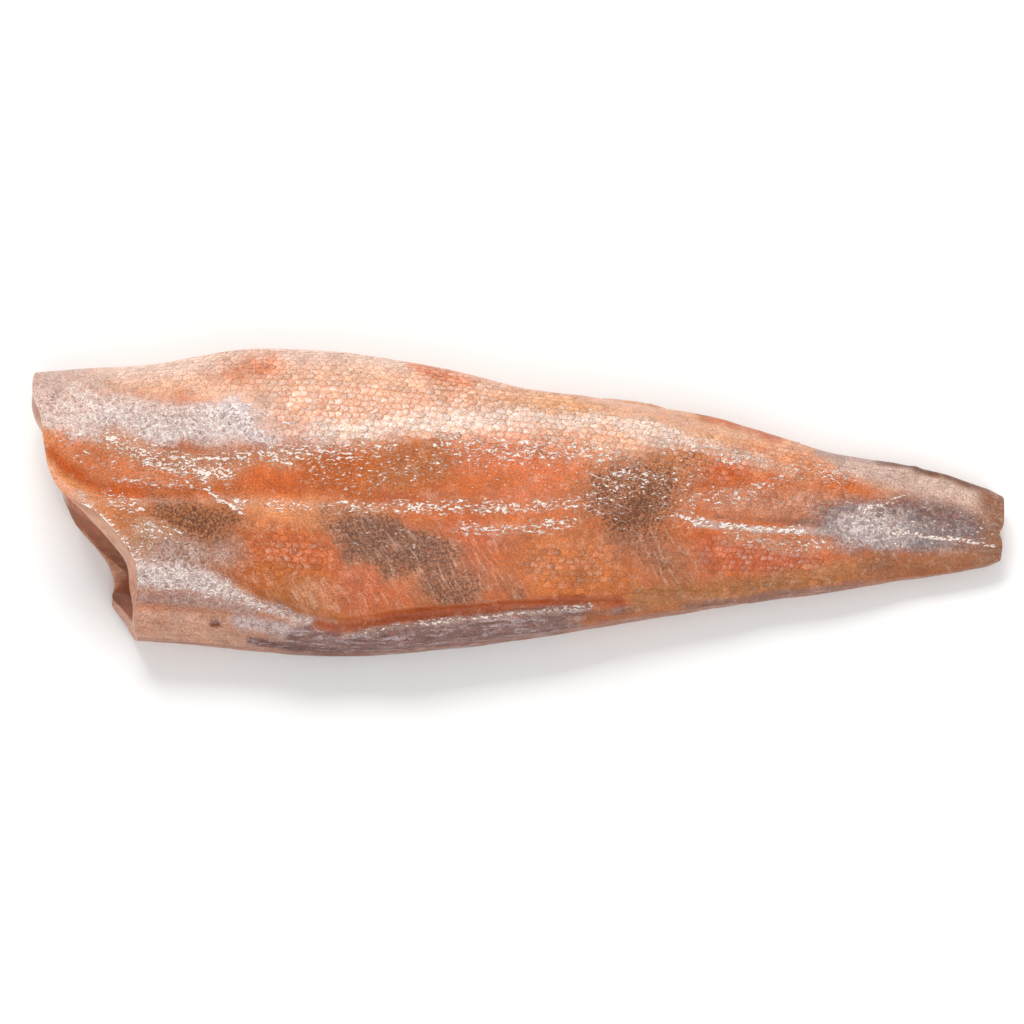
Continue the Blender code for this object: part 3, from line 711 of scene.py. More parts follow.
def patchMask(patch, column, row, seed):
    ragged = patch.get("ragged", painting["ragged"])
    shift = ragged * layeredWander(column, row, painting["raggedLump"], seed)
    if "line" in patch:
        away = (distanceToLine(column, row, patch["line"]) + shift * 0.5) / patch["size"][0]
    else:
        turn = math.radians(patch["turn"])
        c, r = column - patch["at"][0], row - patch["at"][1]
        longways = (c * math.cos(turn) + r * math.sin(turn)) / patch["size"][0]
        across = (r * math.cos(turn) - c * math.sin(turn)) / patch["size"][1]
        away = np.hypot(longways, across) + shift / min(patch["size"])
    return 1 - ease(away, 1 - patch["edge"], 1 + patch["edge"])


def paintSkin(column, row):
    looks = {name: np.zeros(np.shape(column)) for name in looksNames}
    tint = np.broadcast_to(linear(*painting["base"]), (*np.shape(column), 3)).copy()
    for number, patch in enumerate(patches.values()):
        mask = patchMask(patch, column, row, seeds["ragged"] + seeds["raggedStep"] * number)
        if "tint" in patch:
            tint += (linear(*patch["tint"]) - tint) * mask[..., None]
        for name, value in looks.items():
            if name in patch or "bare" in patch:
                value += (patch.get(name, 0.0) - value) * mask
    clouds, cloudSize = painting["clouds"]
    mottles, mottleSize = painting["mottles"]
    shade = painting["depth"] + clouds * layeredWander(column, row, cloudSize, seeds["clouds"])
    shade += mottles * wander(column, row, mottleSize, seeds["mottles"])
    tint = (tint - np.array(painting["haze"]) * tint / (tint + painting["hazeOnset"])) * shade[..., None]
    return np.clip(tint, painting["darkest"], 1.0), looks


def paintSteepEdges(skin, angle, tint, looks):
    outward = gridNormals(skin)
    upright = 1 - ease(np.abs(outward[..., 2]), *steepness["upright"])
    shade, change = steepness["plain"]
    upAndOver = skin[..., 1] + skin[..., 2]
    plain = layeredWander(skin[..., 0], upAndOver, steepness["plainLump"], seeds["steepShade"])
    plain = shade + change * plain
    for edge in steepEdges.values():
        steep = edge["strength"] * upright * ease(edge["side"] * outward[..., 1], *steepness["sideways"])
        steep *= ease(edge["side"] * np.cos(angle), *steepness["around"])
        steep *= 1 - ease(skin[..., 2], edge["below"], edge["below"] + steepness["belowFade"])
        tint += (linear(*edge["tint"]) * plain[..., None] - tint) * steep[..., None]
        for name, value in looks.items():
            value += (edge.get(name, 0.0) - value) * steep


def skinRise(skin, column, row, wrinkled):  # how far each spot of the skin stands out
    rise = np.zeros(column.shape)
    upAndOver = skin[..., 1] + skin[..., 2]
    for number, (size, height) in enumerate(relief["bodyWaves"]):
        rise += height * wander(skin[..., 0], upAndOver, size, seeds["bodyWaves"] + number)
    length, width, height = relief["bandWrinkle"]
    wrinkle = wander(skin[..., 0] / length, upAndOver / width, 1.0, seeds["bandWrinkle"])
    rise += height * wrinkle * wrinkled
    length, width, height = relief["tailWrinkle"]
    tail = ease(column, *relief["tailWrinkleColumns"])
    wrinkle = wander(skin[..., 0] / length, skin[..., 1] / width, 1.0, seeds["tailWrinkle"])
    rise += height * wrinkle * tail
    evenness = relief["ridgeEvenness"]
    change = (1 - evenness) * wander(column, row, relief["ridgeLump"], seeds["ridges"])
    for line, width, height in relief["ridges"].values():
        away = distanceToLine(column, row, line)
        rise += height * np.exp(-((away / width) ** 2)) * (evenness + change)
    return rise


def makeFish():
    skin = skinRings()
    middle = 0.5 * (skin.min(axis=(0, 1)) + skin.max(axis=(0, 1))) * (1, 1, 0)
    skin = skin - middle
    inner = settle(hollowSection, fineness["hollowRings"], hollow["endX"], 0.0) - middle
    angle = np.tile(ringAngles(), (fineness["along"] + 1, 1))
    nearEnd, nearStart = painting["nearAngles"]
    near = (angle <= nearEnd) | (angle > nearStart)
    shown = skin.copy()
    mirrored = nearHeight(skin[..., 0] + middle[0], skin[..., 1] + middle[1])
    shown[..., 2] = np.where(near, skin[..., 2], mirrored)
    column, row = pictureSpot(shown)
    column = column + np.where(near, 0.0, painting["farShift"])
    tint, looks = paintSkin(column, row)
    paintSteepEdges(skin, angle, tint, looks)
    free = ease(skin[..., 2], *relief["tableFree"])
    rise = skinRise(skin, column, row, looks["wrinkled"])
    count = fineness["along"] + 1
    notch = tailCut["notchDepth"] * bell(row, tailCut["notchRow"], tailCut["notchWidth"])
    skin[..., 0] -= notch * ease(np.arange(count), count - relief["notchRings"], count - 1)[:, None]
    ends = ease(np.arange(count), 0, relief["headRings"])[:, None]
    skin = skin + gridNormals(skin) * (rise * free * ends)[..., None]
    skin[..., 2] = np.maximum(skin[..., 2], 0.0)
    print("skin formed", skin.shape)
    return skin, inner, middle, tint, looks, free


def cutRings(skinEdge, hollowEdge, middle):
    rings = []
    rise, lump = headCut["grain"]
    width = np.linalg.norm(skinEdge - hollowEdge, axis=1)
    for step in range(1, fineness["cutRings"]):
        share = step / fineness["cutRings"]
        ring = hollowEdge + (skinEdge - hollowEdge) * share
        ring[:, 0] += headCut["dish"] * math.sin(math.pi * share) * ease(width, *headCut["dishedWidths"])
        ring[:, 0] -= neckBulge(ring + middle)
        grain = wander(ring[:, 1], ring[:, 2], lump, seeds["headGrain"]) * rise
        ring[:, 0] += grain * math.sin(math.pi * share)
        rings.append(ring)
    return rings


def tailRings(edge):
    middle = edge.mean(axis=0)
    rings = []
    rise, lump = tailCut["grain"]
    for step in range(1, fineness["tailRings"] + 1):
        share = step / (fineness["tailRings"] + 1)
        ring = middle + (edge - middle) * (1 - share)
        ring[:, 0] += rise * wander(ring[:, 1], ring[:, 2], lump, seeds["tailGrain"]) * share
        rings.append(ring)
    return rings


def meshFromRings(name, rings):
    points = np.concatenate([np.asarray(ring) for ring in rings])
    ends = np.array([rings[0].mean(axis=0), rings[-1].mean(axis=0)])
    points = np.concatenate([points, ends])
    count, n = len(rings), fineness["around"]
    i, j = np.meshgrid(np.arange(count - 1), np.arange(n), indexing="ij")
    k = (j + 1) % n
    quads = np.stack([i * n + j, i * n + k, (i + 1) * n + k, (i + 1) * n + j], axis=-1).reshape(-1, 4)
    around = np.arange(n)
    first = np.stack([(around + 1) % n, around, np.full(n, count * n)], axis=-1)
    last = np.stack([around, (around + 1) % n, np.full(n, count * n + 1)], axis=-1)
    last += (count - 1) * n * np.array([1, 1, 0])
    mesh = bpy.data.meshes.new(name)
    mesh.from_pydata(points.tolist(), [], quads.tolist() + first.tolist() + last.tolist())
    body = bmesh.new()
    body.from_mesh(mesh)
    bmesh.ops.recalc_face_normals(body, faces=body.faces)
    body.to_mesh(mesh)
    body.free()
    mesh.shade_smooth()
    return mesh


def putAttribute(mesh, name, values):
    values = np.asarray(values, dtype=np.float32)
    if values.ndim == 2:
        attribute = mesh.attributes.new(name, "FLOAT_COLOR", "POINT")
        rgba = np.concatenate([values, np.ones((len(values), 1), np.float32)], axis=1)
        attribute.data.foreach_set("color", rgba.ravel())
    else:
        attribute = mesh.attributes.new(name, "FLOAT", "POINT")
        attribute.data.foreach_set("value", values)


def addObject(name, mesh):
    piece = bpy.data.objects.new(name, mesh)
    bpy.context.scene.collection.objects.link(piece)
    return piece


# Materials
def newMaterial(name):
    material = bpy.data.materials.new(name)
    material.use_nodes = True
    nodes, links = material.node_tree.nodes, material.node_tree.links
    return material, nodes, links, nodes["Principled BSDF"]


def attributeNode(nodes, name):
    node = nodes.new("ShaderNodeAttribute")
    node.attribute_name = name
    return node


def mathNode(nodes, links, operation, first, second=None, third=None, clamp=False):
    node = nodes.new("ShaderNodeMath")
    node.operation = operation
    node.use_clamp = clamp
    for socket, value in zip(node.inputs, (first, second, third)):
        if value is None:
            continue
        if isinstance(value, (int, float)):
            socket.default_value = value
        else:
            links.new(value, socket)
    return node.outputs[0]


def mixNode(nodes, links, factor, first, second, blend="MIX"):
    node = nodes.new("ShaderNodeMix")
    node.data_type = "RGBA"
    node.blend_type = blend
    for socket, value in zip((node.inputs[0], node.inputs[6], node.inputs[7]), (factor, first, second)):
        if isinstance(value, (int, float)):
            socket.default_value = value
        elif isinstance(value, tuple):
            socket.default_value = (*value, 1.0)
        else:
            links.new(value, socket)
    return node.outputs[2]


def rampNode(nodes, links, factor, stops):
    node = nodes.new("ShaderNodeValToRGB")
    while len(node.color_ramp.elements) < len(stops):
        node.color_ramp.elements.new(0.5)
    for element, (place, value) in zip(node.color_ramp.elements, stops):
        element.position = place
        element.color = (value, value, value, 1) if isinstance(value, (int, float)) else (*value, 1)
    links.new(factor, node.inputs[0])
    return node.outputs[0]


def noiseNode(nodes, links, vector, scale, detail, roughness):
    node = nodes.new("ShaderNodeTexNoise")
    node.inputs["Scale"].default_value = scale
    node.inputs["Detail"].default_value = detail
    node.inputs["Roughness"].default_value = roughness
    links.new(vector, node.inputs["Vector"])
    return node.outputs["Fac"]


def stretched(nodes, links, vector, scale, turn=0.0):
    node = nodes.new("ShaderNodeMapping")
    node.inputs["Scale"].default_value = scale
    node.inputs["Rotation"].default_value = (0.0, 0.0, turn)
    links.new(vector, node.inputs["Vector"])
    return node.outputs["Vector"]


skinLook = {
    "roughness": 0.46,
    "roughChange": 0.20,
    "wetRoughness": -0.16,  # added where the skin is silver or glints
    "bump": 0.75,
    "bumpDistance": 0.00035,
    "specular": 0.22,
    "coat": 0.12,
    "coatRoughness": 0.14,
    "subsurface": 0.06,
    "subsurfaceRadius": (0.0018, 0.0008, 0.0004),
    "wavy": (420.0, 0.0011),  # how the fine patterns wander: scale, and reach in metres
    "cellWarp": (900.0, 0.0009),
    "rayWarp": (120.0, 0.0015),
    "cellScale": 500.0,
    "rayStretch": (0.13, 1.0, 0.13),
    "wrinkleStretch": (0.12, 1.0, 1.0),
    "dashStretch": (0.34, 1.0, 1.0),
    "white": tuple(linear(252, 240, 232)),
    "lilac": tuple(linear(198, 184, 188)),
    "outline": tuple(linear(140, 88, 68)),
    "orange": tuple(linear(200, 92, 38)),
    "rimShade": (0.86, 0.54, 0.38),
    "barDark": tuple(linear(88, 46, 30)),
    "barPale": tuple(linear(206, 146, 100)),
    "pale": tuple(linear(242, 200, 176)),
    "creaseDark": tuple(linear(96, 66, 66)),
    "rayTurn": math.radians(57),
}
patterns = {  # scale, detail and roughness of each noise
    "blotch": (330.0, 4.0, 0.6),
    "dots": (1350.0, 4.0, 0.8),
    "rays": (1080.0, 3.0, 0.7),
    "wrinkles": (850.0, 3.0, 0.65),
    "ragged": (900.0, 3.0, 0.7),
    "outline": (430.0, 1.0, 0.5),
    "winding": (520.0, 1.0, 0.5),
    "patchy": (560.0, 2.0, 0.6),
    "dash": (1650.0, 2.5, 0.6),
    "grain": (2000.0, 3.0, 0.75),
}
strengths = {  # how much of a colour each layer paints over the skin
    "blotchOrange": 0.22,
    "blotchPale": 0.24,
    "cell": 0.34,
    "cellEdge": 0.55,
    "bar": 0.30,
    "dots": 0.82,
    "rayLight": 0.32,
    "rayDark": 0.40,
    "wrinkleLight": 0.55,
    "wrinkleDark": 0.62,
    "silverSheen": 0.52,
    "winding": 0.80,
    # glow and shadow: the painted highlight round each glint and the painted shadow beside it
    "glow": 0.45,
    "shadow": 0.42,
}
heights = {  # each layer's share of the bump
    "grain": 0.30,
    "winding": 0.50,
    "glint": 0.75,
    "cell": 0.40,
    "ray": 0.55,
    "wrinkle": 0.90,
}


def offsetPlace(nodes, links, place, amount):
    node = nodes.new("ShaderNodeVectorMath")
    node.operation = "ADD"
    links.new(place, node.inputs[0])
    node.inputs[1].default_value = (amount, 2 * amount, 3 * amount)
    return node.outputs[0]


def warped(nodes, links, place, scale, reach):
    noise = nodes.new("ShaderNodeTexNoise")
    noise.inputs["Scale"].default_value = scale
    noise.inputs["Detail"].default_value = 2.0
    links.new(place, noise.inputs["Vector"])
    away = nodes.new("ShaderNodeVectorMath")
    away.operation = "SUBTRACT"
    links.new(noise.outputs["Color"], away.inputs[0])
    away.inputs[1].default_value = (0.5, 0.5, 0.5)
    moved = nodes.new("ShaderNodeVectorMath")
    moved.operation = "MULTIPLY_ADD"
    links.new(away.outputs[0], moved.inputs[0])
    moved.inputs[1].default_value = (2 * reach, 2 * reach, 2 * reach)
    links.new(place, moved.inputs[2])
    return moved.outputs[0]


# 1 along the wandering lines where a noise crosses its middle
def ridgeOf(nodes, links, noise, sharpness):
    away = mathNode(nodes, links, "SUBTRACT", noise, 0.5)
    away = mathNode(nodes, links, "ABSOLUTE", away)
    return mathNode(nodes, links, "MULTIPLY_ADD", away, -sharpness, 1.0, clamp=True)


def finishShader(nodes, links, shader, height, look):  # bump, coat and the light under the surface
    bump = nodes.new("ShaderNodeBump")
    bump.inputs["Strength"].default_value = look["bump"]
    bump.inputs["Distance"].default_value = look["bumpDistance"]
    links.new(height, bump.inputs["Height"])
    links.new(bump.outputs["Normal"], shader.inputs["Normal"])
    shader.inputs["Coat Weight"].default_value = look["coat"]
    shader.inputs["Coat Roughness"].default_value = look["coatRoughness"]
    shader.inputs["Subsurface Weight"].default_value = look["subsurface"]
    shader.inputs["Subsurface Radius"].default_value = look["subsurfaceRadius"]
    shader.inputs["Subsurface Scale"].default_value = 1.0


def skinMaterial():
    s = skinLook
    material, nodes, links, shader = newMaterial("smokedSkin")

    def m(operation, first, second=None, third=None, clamp=False):
        return mathNode(nodes, links, operation, first, second, third, clamp)

    def look(name):
        return attributeNode(nodes, name).outputs["Fac"]

    def noise(vector, name):
        return noiseNode(nodes, links, vector, *patterns[name])

    def step(value, low, high):
        return rampNode(nodes, links, value, ((low, 0.0), (high, 1.0)))

    def fall(value, low, high):
        return rampNode(nodes, links, value, ((low, 1.0), (high, 0.0)))

    def paint(amount, colour, over, strength=None):
        if strength:
            amount = m("MULTIPLY", amount, strengths[strength])
        return mixNode(nodes, links, amount, over, s[colour])

    place = nodes.new("ShaderNodeTexCoord").outputs["Object"]
    wavy = warped(nodes, links, place, *s["wavy"])
    colour = attributeNode(nodes, "tint").outputs["Color"]
    rim, bar, silverSheen = look("rim"), look("bar"), look("silverSheen")
    paintedGlint, rays, cells, wrinkled = look("paintedGlint"), look("rays"), look("cells"), look("wrinkled")

    # lively mottling between orange and pale
    blotch = noise(place, "blotch")
    colour = paint(fall(blotch, 0.30, 0.46), "orange", colour, "blotchOrange")
    colour = paint(step(blotch, 0.54, 0.72), "pale", colour, "blotchPale")

    # cells of the scales under the film
    edge = nodes.new("ShaderNodeTexVoronoi")
    edge.feature = "DISTANCE_TO_EDGE"
    edge.inputs["Scale"].default_value = s["cellScale"]
    edge.inputs["Randomness"].default_value = 1.0
    links.new(warped(nodes, links, place, *s["cellWarp"]), edge.inputs["Vector"])
    puff = step(edge.outputs["Distance"], 0.02, 0.30)
    rimLine = fall(edge.outputs["Distance"], 0.02, 0.13)
    colour = paint(m("MULTIPLY", puff, cells), "pale", colour, "cell")
    colour = paint(m("MULTIPLY", rimLine, cells), "orange", colour, "cellEdge")

    # dark bars of fine dots
    colour = paint(bar, "barPale", colour, "bar")
    dotty = m("MULTIPLY_ADD", bar, 0.18, m("SUBTRACT", noise(place, "dots"), 0.15))
    dots = m("MULTIPLY", step(dotty, 0.45, 0.53), m("MULTIPLY", bar, 1.6, clamp=True))
    colour = paint(dots, "barDark", colour, "dots")

    # narrow slanting lines low on the flank
    bent = warped(nodes, links, place, *s["rayWarp"])
    slanted = stretched(nodes, links, bent, (1.0, 1.0, 1.0), s["rayTurn"])
    rayNoise = noise(stretched(nodes, links, slanted, s["rayStretch"]), "rays")
    colour = paint(m("MULTIPLY", step(rayNoise, 0.51, 0.64), rays), "pale", colour, "rayLight")
    colour = paint(m("MULTIPLY", fall(rayNoise, 0.34, 0.46), rays), "outline", colour, "rayDark")

    # lengthwise wrinkles of the belly edge
    wrinkleNoise = noise(stretched(nodes, links, wavy, s["wrinkleStretch"]), "wrinkles")
    wrinkleLight = m("MULTIPLY", step(wrinkleNoise, 0.52, 0.64), wrinkled)
    wrinkleDark = m("MULTIPLY", fall(wrinkleNoise, 0.34, 0.46), wrinkled)
    colour = paint(wrinkleLight, "lilac", colour, "wrinkleLight")
    colour = paint(wrinkleDark, "creaseDark", colour, "wrinkleDark")

    # silvery skin, partly its own silvery colour and partly painted sheen: lilac ground, white winding lines
    # of painted highlight and thin brown outlines
    ragged = m("MULTIPLY_ADD", noise(place, "ragged"), 1.6, -1.05)
    ragged = m("MULTIPLY_ADD", silverSheen, 1.3, ragged, clamp=True)
    colour = paint(m("MULTIPLY", ragged, silverSheen, clamp=True), "lilac", colour, "silverSheen")
    thin = ridgeOf(nodes, links, noise(offsetPlace(nodes, links, wavy, 0.37), "outline"), 20.0)
    thin = m("MULTIPLY", thin, m("MULTIPLY_ADD", silverSheen, 0.70, 0.12))
    colour = paint(thin, "outline", colour)
    winding = ridgeOf(nodes, links, noise(wavy, "winding"), 10.0)
    winding = m("MULTIPLY", winding, m("MULTIPLY", silverSheen, ragged))
    colour = paint(winding, "white", colour, "winding")

    # scale plates: a painted highlight in their middles and painted shade along their tail-side rims
    plate = m("MULTIPLY", rim, 4.0, clamp=True)
    patchy = noise(wavy, "patchy")
    middle = m("MULTIPLY", fall(rim, 0.20, 0.80), plate)
    middle = m("MULTIPLY", middle, m("MULTIPLY", look("glow"), step(patchy, 0.34, 0.60)))
    colour = paint(middle, "white", colour)
    uneven = rampNode(nodes, links, patchy, ((0.36, 0.85), (0.62, 0.40)))
    crescent = m("MULTIPLY", step(rim, 0.62, 0.92), uneven)
    crescent = m("MULTIPLY", crescent, look("show"))
    colour = mixNode(nodes, links, crescent, colour, s["rimShade"], "MULTIPLY")

    # painted highlights: white glints on the wet folds, a pale painted glow round them and a painted shadow
    # beside each
    dash = noise(stretched(nodes, links, wavy, s["dashStretch"]), "dash")
    glow = step(m("MULTIPLY_ADD", paintedGlint, 0.12, dash), 0.56, 0.66)
    glow = m("MULTIPLY", glow, m("MULTIPLY", paintedGlint, strengths["glow"]))
    colour = paint(glow, "pale", colour)
    raised = m("MULTIPLY_ADD", paintedGlint, 0.165, dash)
    shadow = rampNode(nodes, links, raised, ((0.600, 0.0), (0.635, 1.0), (0.670, 1.0), (0.695, 0.0)))
    shadow = m("MULTIPLY", shadow, m("MULTIPLY", paintedGlint, strengths["shadow"], clamp=True))
    colour = paint(shadow, "outline", colour)
    glint = step(raised, 0.675, 0.715)
    glint = m("MULTIPLY", glint, m("MULTIPLY", paintedGlint, 3.0, clamp=True), clamp=True)
    strength = rampNode(nodes, links, blotch, ((0.36, 0.50), (0.58, 0.92)))
    colour = paint(m("MULTIPLY", glint, strength), "white", colour)

    # a fine grain over all of it
    grain = noise(place, "grain")
    shade = rampNode(nodes, links, grain, ((0.34, 0.57), (0.66, 1.29)))
    colour = mixNode(nodes, links, 1.0, colour, shade, "MULTIPLY")
    links.new(colour, shader.inputs["Base Color"])

    rough = m("MULTIPLY_ADD", grain, s["roughChange"], s["roughness"] - 0.5 * s["roughChange"])
    rough = m("MULTIPLY_ADD", m("MAXIMUM", winding, glint), s["wetRoughness"], rough)
    links.new(rough, shader.inputs["Roughness"])
    height = m("MULTIPLY", grain, heights["grain"])
    for layer, share in (
        (winding, "winding"), (glint, "glint"), (m("MULTIPLY", puff, cells), "cell"),
        (m("MULTIPLY", rayNoise, rays), "ray"), (m("MULTIPLY", wrinkleNoise, wrinkled), "wrinkle"),
    ):
        height = m("MULTIPLY_ADD", layer, heights[share], height)
    finishShader(nodes, links, shader, height, s)
    shader.inputs["Specular IOR Level"].default_value = s["specular"]
    return material


fleshLook = {
    "pale": tuple(linear(218, 158, 124)),
    "deep": tuple(linear(190, 112, 74)),
    "line": tuple(linear(232, 192, 164)),
    "edge": tuple(linear(168, 92, 54)),
    "lining": tuple(linear(184, 112, 82)),
    "liningDark": tuple(linear(134, 80, 60)),
    "liningLump": 0.007,
    "ringPitch": 210.0,
    "ringStretch": (0.25, 1.0, 1.35),
    "ringWander": 9.0,
    "grain": (420.0, 5.0, 0.65),
    "roughness": (0.3, 0.28),  # how far the grain changes it, and the least of it
    "bump": 0.4,
    "bumpDistance": 0.0004,
    "coat": 0.3,
    "coatRoughness": 0.25,
    "subsurface": 0.12,
    "subsurfaceRadius": (0.0025, 0.0011, 0.0006),
}


def fleshMaterial():
    s = fleshLook
    material, nodes, links, shader = newMaterial("cutFlesh")
    place = nodes.new("ShaderNodeTexCoord").outputs["Object"]
    tint = attributeNode(nodes, "tint").outputs["Color"]
    inside = attributeNode(nodes, "inside").outputs["Fac"]
    grain = noiseNode(nodes, links, place, *s["grain"])
    rings = nodes.new("ShaderNodeTexWave")
    rings.wave_type = "RINGS"
    rings.rings_direction = "X"
    rings.inputs["Scale"].default_value = s["ringPitch"]
    rings.inputs["Distortion"].default_value = s["ringWander"]
    rings.inputs["Detail"].default_value = 2.0
    rings.inputs["Detail Scale"].default_value = 1.2
    links.new(stretched(nodes, links, place, s["ringStretch"]), rings.inputs["Vector"])
    line = rampNode(nodes, links, rings.outputs["Fac"], ((0.80, 0.0), (0.95, 0.28)))
    away = mathNode(nodes, links, "SUBTRACT", 1.0, inside, clamp=True)
    line = mathNode(nodes, links, "MULTIPLY", line, away)
    colour = mixNode(nodes, links, line, tint, s["line"])
    shade = rampNode(nodes, links, grain, ((0.28, 0.78), (0.72, 1.18)))
    colour = mixNode(nodes, links, 1.0, colour, shade, "MULTIPLY")
    links.new(colour, shader.inputs["Base Color"])
    rough = mathNode(nodes, links, "MULTIPLY_ADD", grain, *s["roughness"])
    links.new(rough, shader.inputs["Roughness"])
    finishShader(nodes, links, shader, grain, s)
    return material


headFace = {  # Y and Z of what the head cut shows, in metres
    "boneAt": (0.0085, 0.0165),
    "boneRadius": 0.0044,
    "bone": tuple(linear(228, 196, 166)),
    "core": tuple(linear(150, 92, 66)),
    "bloodAt": (0.0030, 0.0155),
    "bloodSize": 0.0022,
    "blood": tuple(linear(96, 44, 34)),
    "rimShare": 0.86,
    "rimDark": 0.8,
    "liningShare": 0.14,
    "liningDark": 0.6,
    "lump": 0.005,
}

tailFace = {
    "boneRadius": 0.0024,
    "flesh": tuple(linear(178, 126, 96)),
    "rim": tuple(linear(132, 86, 62)),
    "rimShares": (0.05, 0.35),
    "lump": 0.003,
}


def headFaceTints(ring, share, middle):  # colours of the head cut from the hollow (0) to the skin (1)
    h = headFace
    y, z = ring[:, 1] + middle[1], ring[:, 2]
    pale, deep = np.array(fleshLook["pale"]), np.array(fleshLook["deep"])
    clouds = layeredWander(y, z, h["lump"], seeds["headFace"])
    tint = pale + (deep - pale) * np.clip(0.5 + 0.6 * clouds, 0, 1)[:, None]
    bone = np.hypot(y - h["boneAt"][0], z - h["boneAt"][1]) / h["boneRadius"]
    tint += (np.array(h["bone"]) - tint) * (1 - ease(bone, 0.85, 1.1))[:, None]
    tint += (np.array(h["core"]) - tint) * (1 - ease(bone, 0.25, 0.45))[:, None]
    tint += (np.array(fleshLook["edge"]) - tint) * (0.7 * bell(bone, 1.1, 0.14))[:, None]
    blood = np.hypot(y - h["bloodAt"][0], z - h["bloodAt"][1]) / h["bloodSize"]
    tint += (np.array(h["blood"]) - tint) * (1 - ease(blood, 0.6, 1.2))[:, None]
    dark = ease(share, h["rimShare"], 1.0) * h["rimDark"]
    dark += (1 - ease(share, 0.0, h["liningShare"])) * h["liningDark"]
    return tint + (np.array(fleshLook["edge"]) - tint) * dark


def liningTints(inner):  # from the hollow's inner end, the darkest, to the head cut
    lining, dark = np.array(fleshLook["lining"]), np.array(fleshLook["liningDark"])
    tints = []
    for number, ring in enumerate(inner[::-1]):
        deep = 1 - number / (len(inner) - 1)
        clouds = layeredWander(ring[:, 0], ring[:, 1], fleshLook["liningLump"], seeds["lining"])
        mix = np.clip(0.20 + 0.5 * clouds + deep, 0, 1)
        tints.append(lining + (dark - lining) * mix[:, None])
    return tints


def tailFaceTints(tail, centre):
    tints = []
    for step, ring in enumerate(tail, start=1):
        mix = 0.5 + 0.5 * layeredWander(ring[:, 1], ring[:, 2], tailFace["lump"], seeds["tailFace"])
        flesh = np.array(tailFace["flesh"]) * (0.75 + 0.5 * mix[:, None])
        bone = np.hypot(ring[:, 1] - centre[1], ring[:, 2] - centre[2]) / tailFace["boneRadius"]
        flesh += (np.array(headFace["bone"]) - flesh) * (1 - ease(bone, 0.8, 1.2))[:, None]
        rimmed = 1 - ease(step / len(tail), *tailFace["rimShares"])
        tints.append(flesh + (np.array(tailFace["rim"]) - flesh) * rimmed)
    return tints


def buildFishBody(skin, inner, middle, tint, looks):
    n = fineness["around"]
    cut = cutRings(skin[0], inner[0], middle)
    tail = tailRings(skin[-1])
    rings = [*inner[::-1], *cut, *skin, *tail]
    mesh = meshFromRings("fishBody", rings)
    tints = liningTints(inner)
    for step, ring in enumerate(cut, start=1):
        tints.append(headFaceTints(ring, step / fineness["cutRings"], middle))
    tints += [*tint, *tailFaceTints(tail, skin[-1].mean(axis=0))]
    tints += [np.array([fleshLook["liningDark"]]), np.array([headFace["core"]])]  # the middles of both ends
    inside = np.zeros(len(mesh.vertices))
    inside[:len(inner) * n] = 1.0
    inside[-2] = 1.0
    putAttribute(mesh, "tint", np.concatenate(tints))
    putAttribute(mesh, "inside", inside)
    before = (len(inner) + len(cut)) * n
    after = len(tail) * n + 2
    for name in looksNames:
        putAttribute(mesh, name, np.concatenate([np.zeros(before), looks[name].ravel(), np.zeros(after)]))
    for name in ("rim", "glow", "show"):
        putAttribute(mesh, name, np.zeros(len(mesh.vertices)))
    mesh.materials.append(skinMaterial())
    mesh.materials.append(fleshMaterial())
    firstSkin = len(inner) + len(cut)
    lastSkin = firstSkin + len(skin) - 1
    faceRing = np.repeat(np.arange(len(rings) - 1), n)
    slots = np.where((faceRing < firstSkin) | (faceRing >= lastSkin), 1, 0)
    slots = np.concatenate([slots, np.ones(2 * n, int)])
    mesh.polygons.foreach_set("material_index", slots.astype(np.int32))
    sharpen(mesh, firstSkin * n, n)
    sharpen(mesh, lastSkin * n, n)
    return addObject("fishBody", mesh)


def sharpen(mesh, start, count):  # a crisp edge along one ring
    wanted = set(range(start, start + count))
    flags = [edge.vertices[0] in wanted and edge.vertices[1] in wanted for edge in mesh.edges]
    attribute = mesh.attributes.get("sharp_edge") or mesh.attributes.new("sharp_edge", "BOOLEAN", "EDGE")
    kept = [item.value for item in attribute.data]
    attribute.data.foreach_set("value", [a or b for a, b in zip(flags, kept)])


# Scales
scales = {
    "pitch": ((-0.141, 0.00215), (0.000, 0.00215), (0.060, 0.00190), (0.141, 0.00150)),
    "rowShare": 0.90,
    "length": 1.50,
    "width": 1.16,
    "height": 0.000075,
    "lift": 2.8,
    "turnSpread": 14.0,
    "sizeSpread": 0.14,
    "shift": 0.12,
    "shadeSpread": 0.10,
    "paler": (1.05, 1.04, 1.02),
    "leastShown": 0.30,
    "shownSpread": 0.07,
    "leastScaly": 0.05,
    "leastUp": 0.45,  # none stand on the thin edge of the back
    "fromEdge": 0.0012,  # how far from the head cut they begin
    "sideSplit": math.pi + 0.10,
    "ends": (-0.1400, 0.1400),
    "stationStep": 0.0005,
    "reachUp": 0.11,
    "standing": (1.6, -0.35, 0.15, 1.1),  # slope, offset, least and most, over how scaly the skin is
    "standSpread": (0.6, 1.2),
    "showing": (0.27, 0.22, 0.1),  # start, run and least
    # glowing: start, slope and most of the painted highlight in the plates' middles
    "glowing": (0.35, 1.6, 0.85),  # start, slope and most
    "glowSpread": (0.1, 1.0),
    "barShare": 0.5,
    "spotTurn": 0.08,
    "liftSpread": (-1.35, -0.65),
    "sides": 8,
}


def scalePitch(x):
    return smoothLine(scales["pitch"], x)


def rowPitch(x):
    return scalePitch(x) * scales["rowShare"]


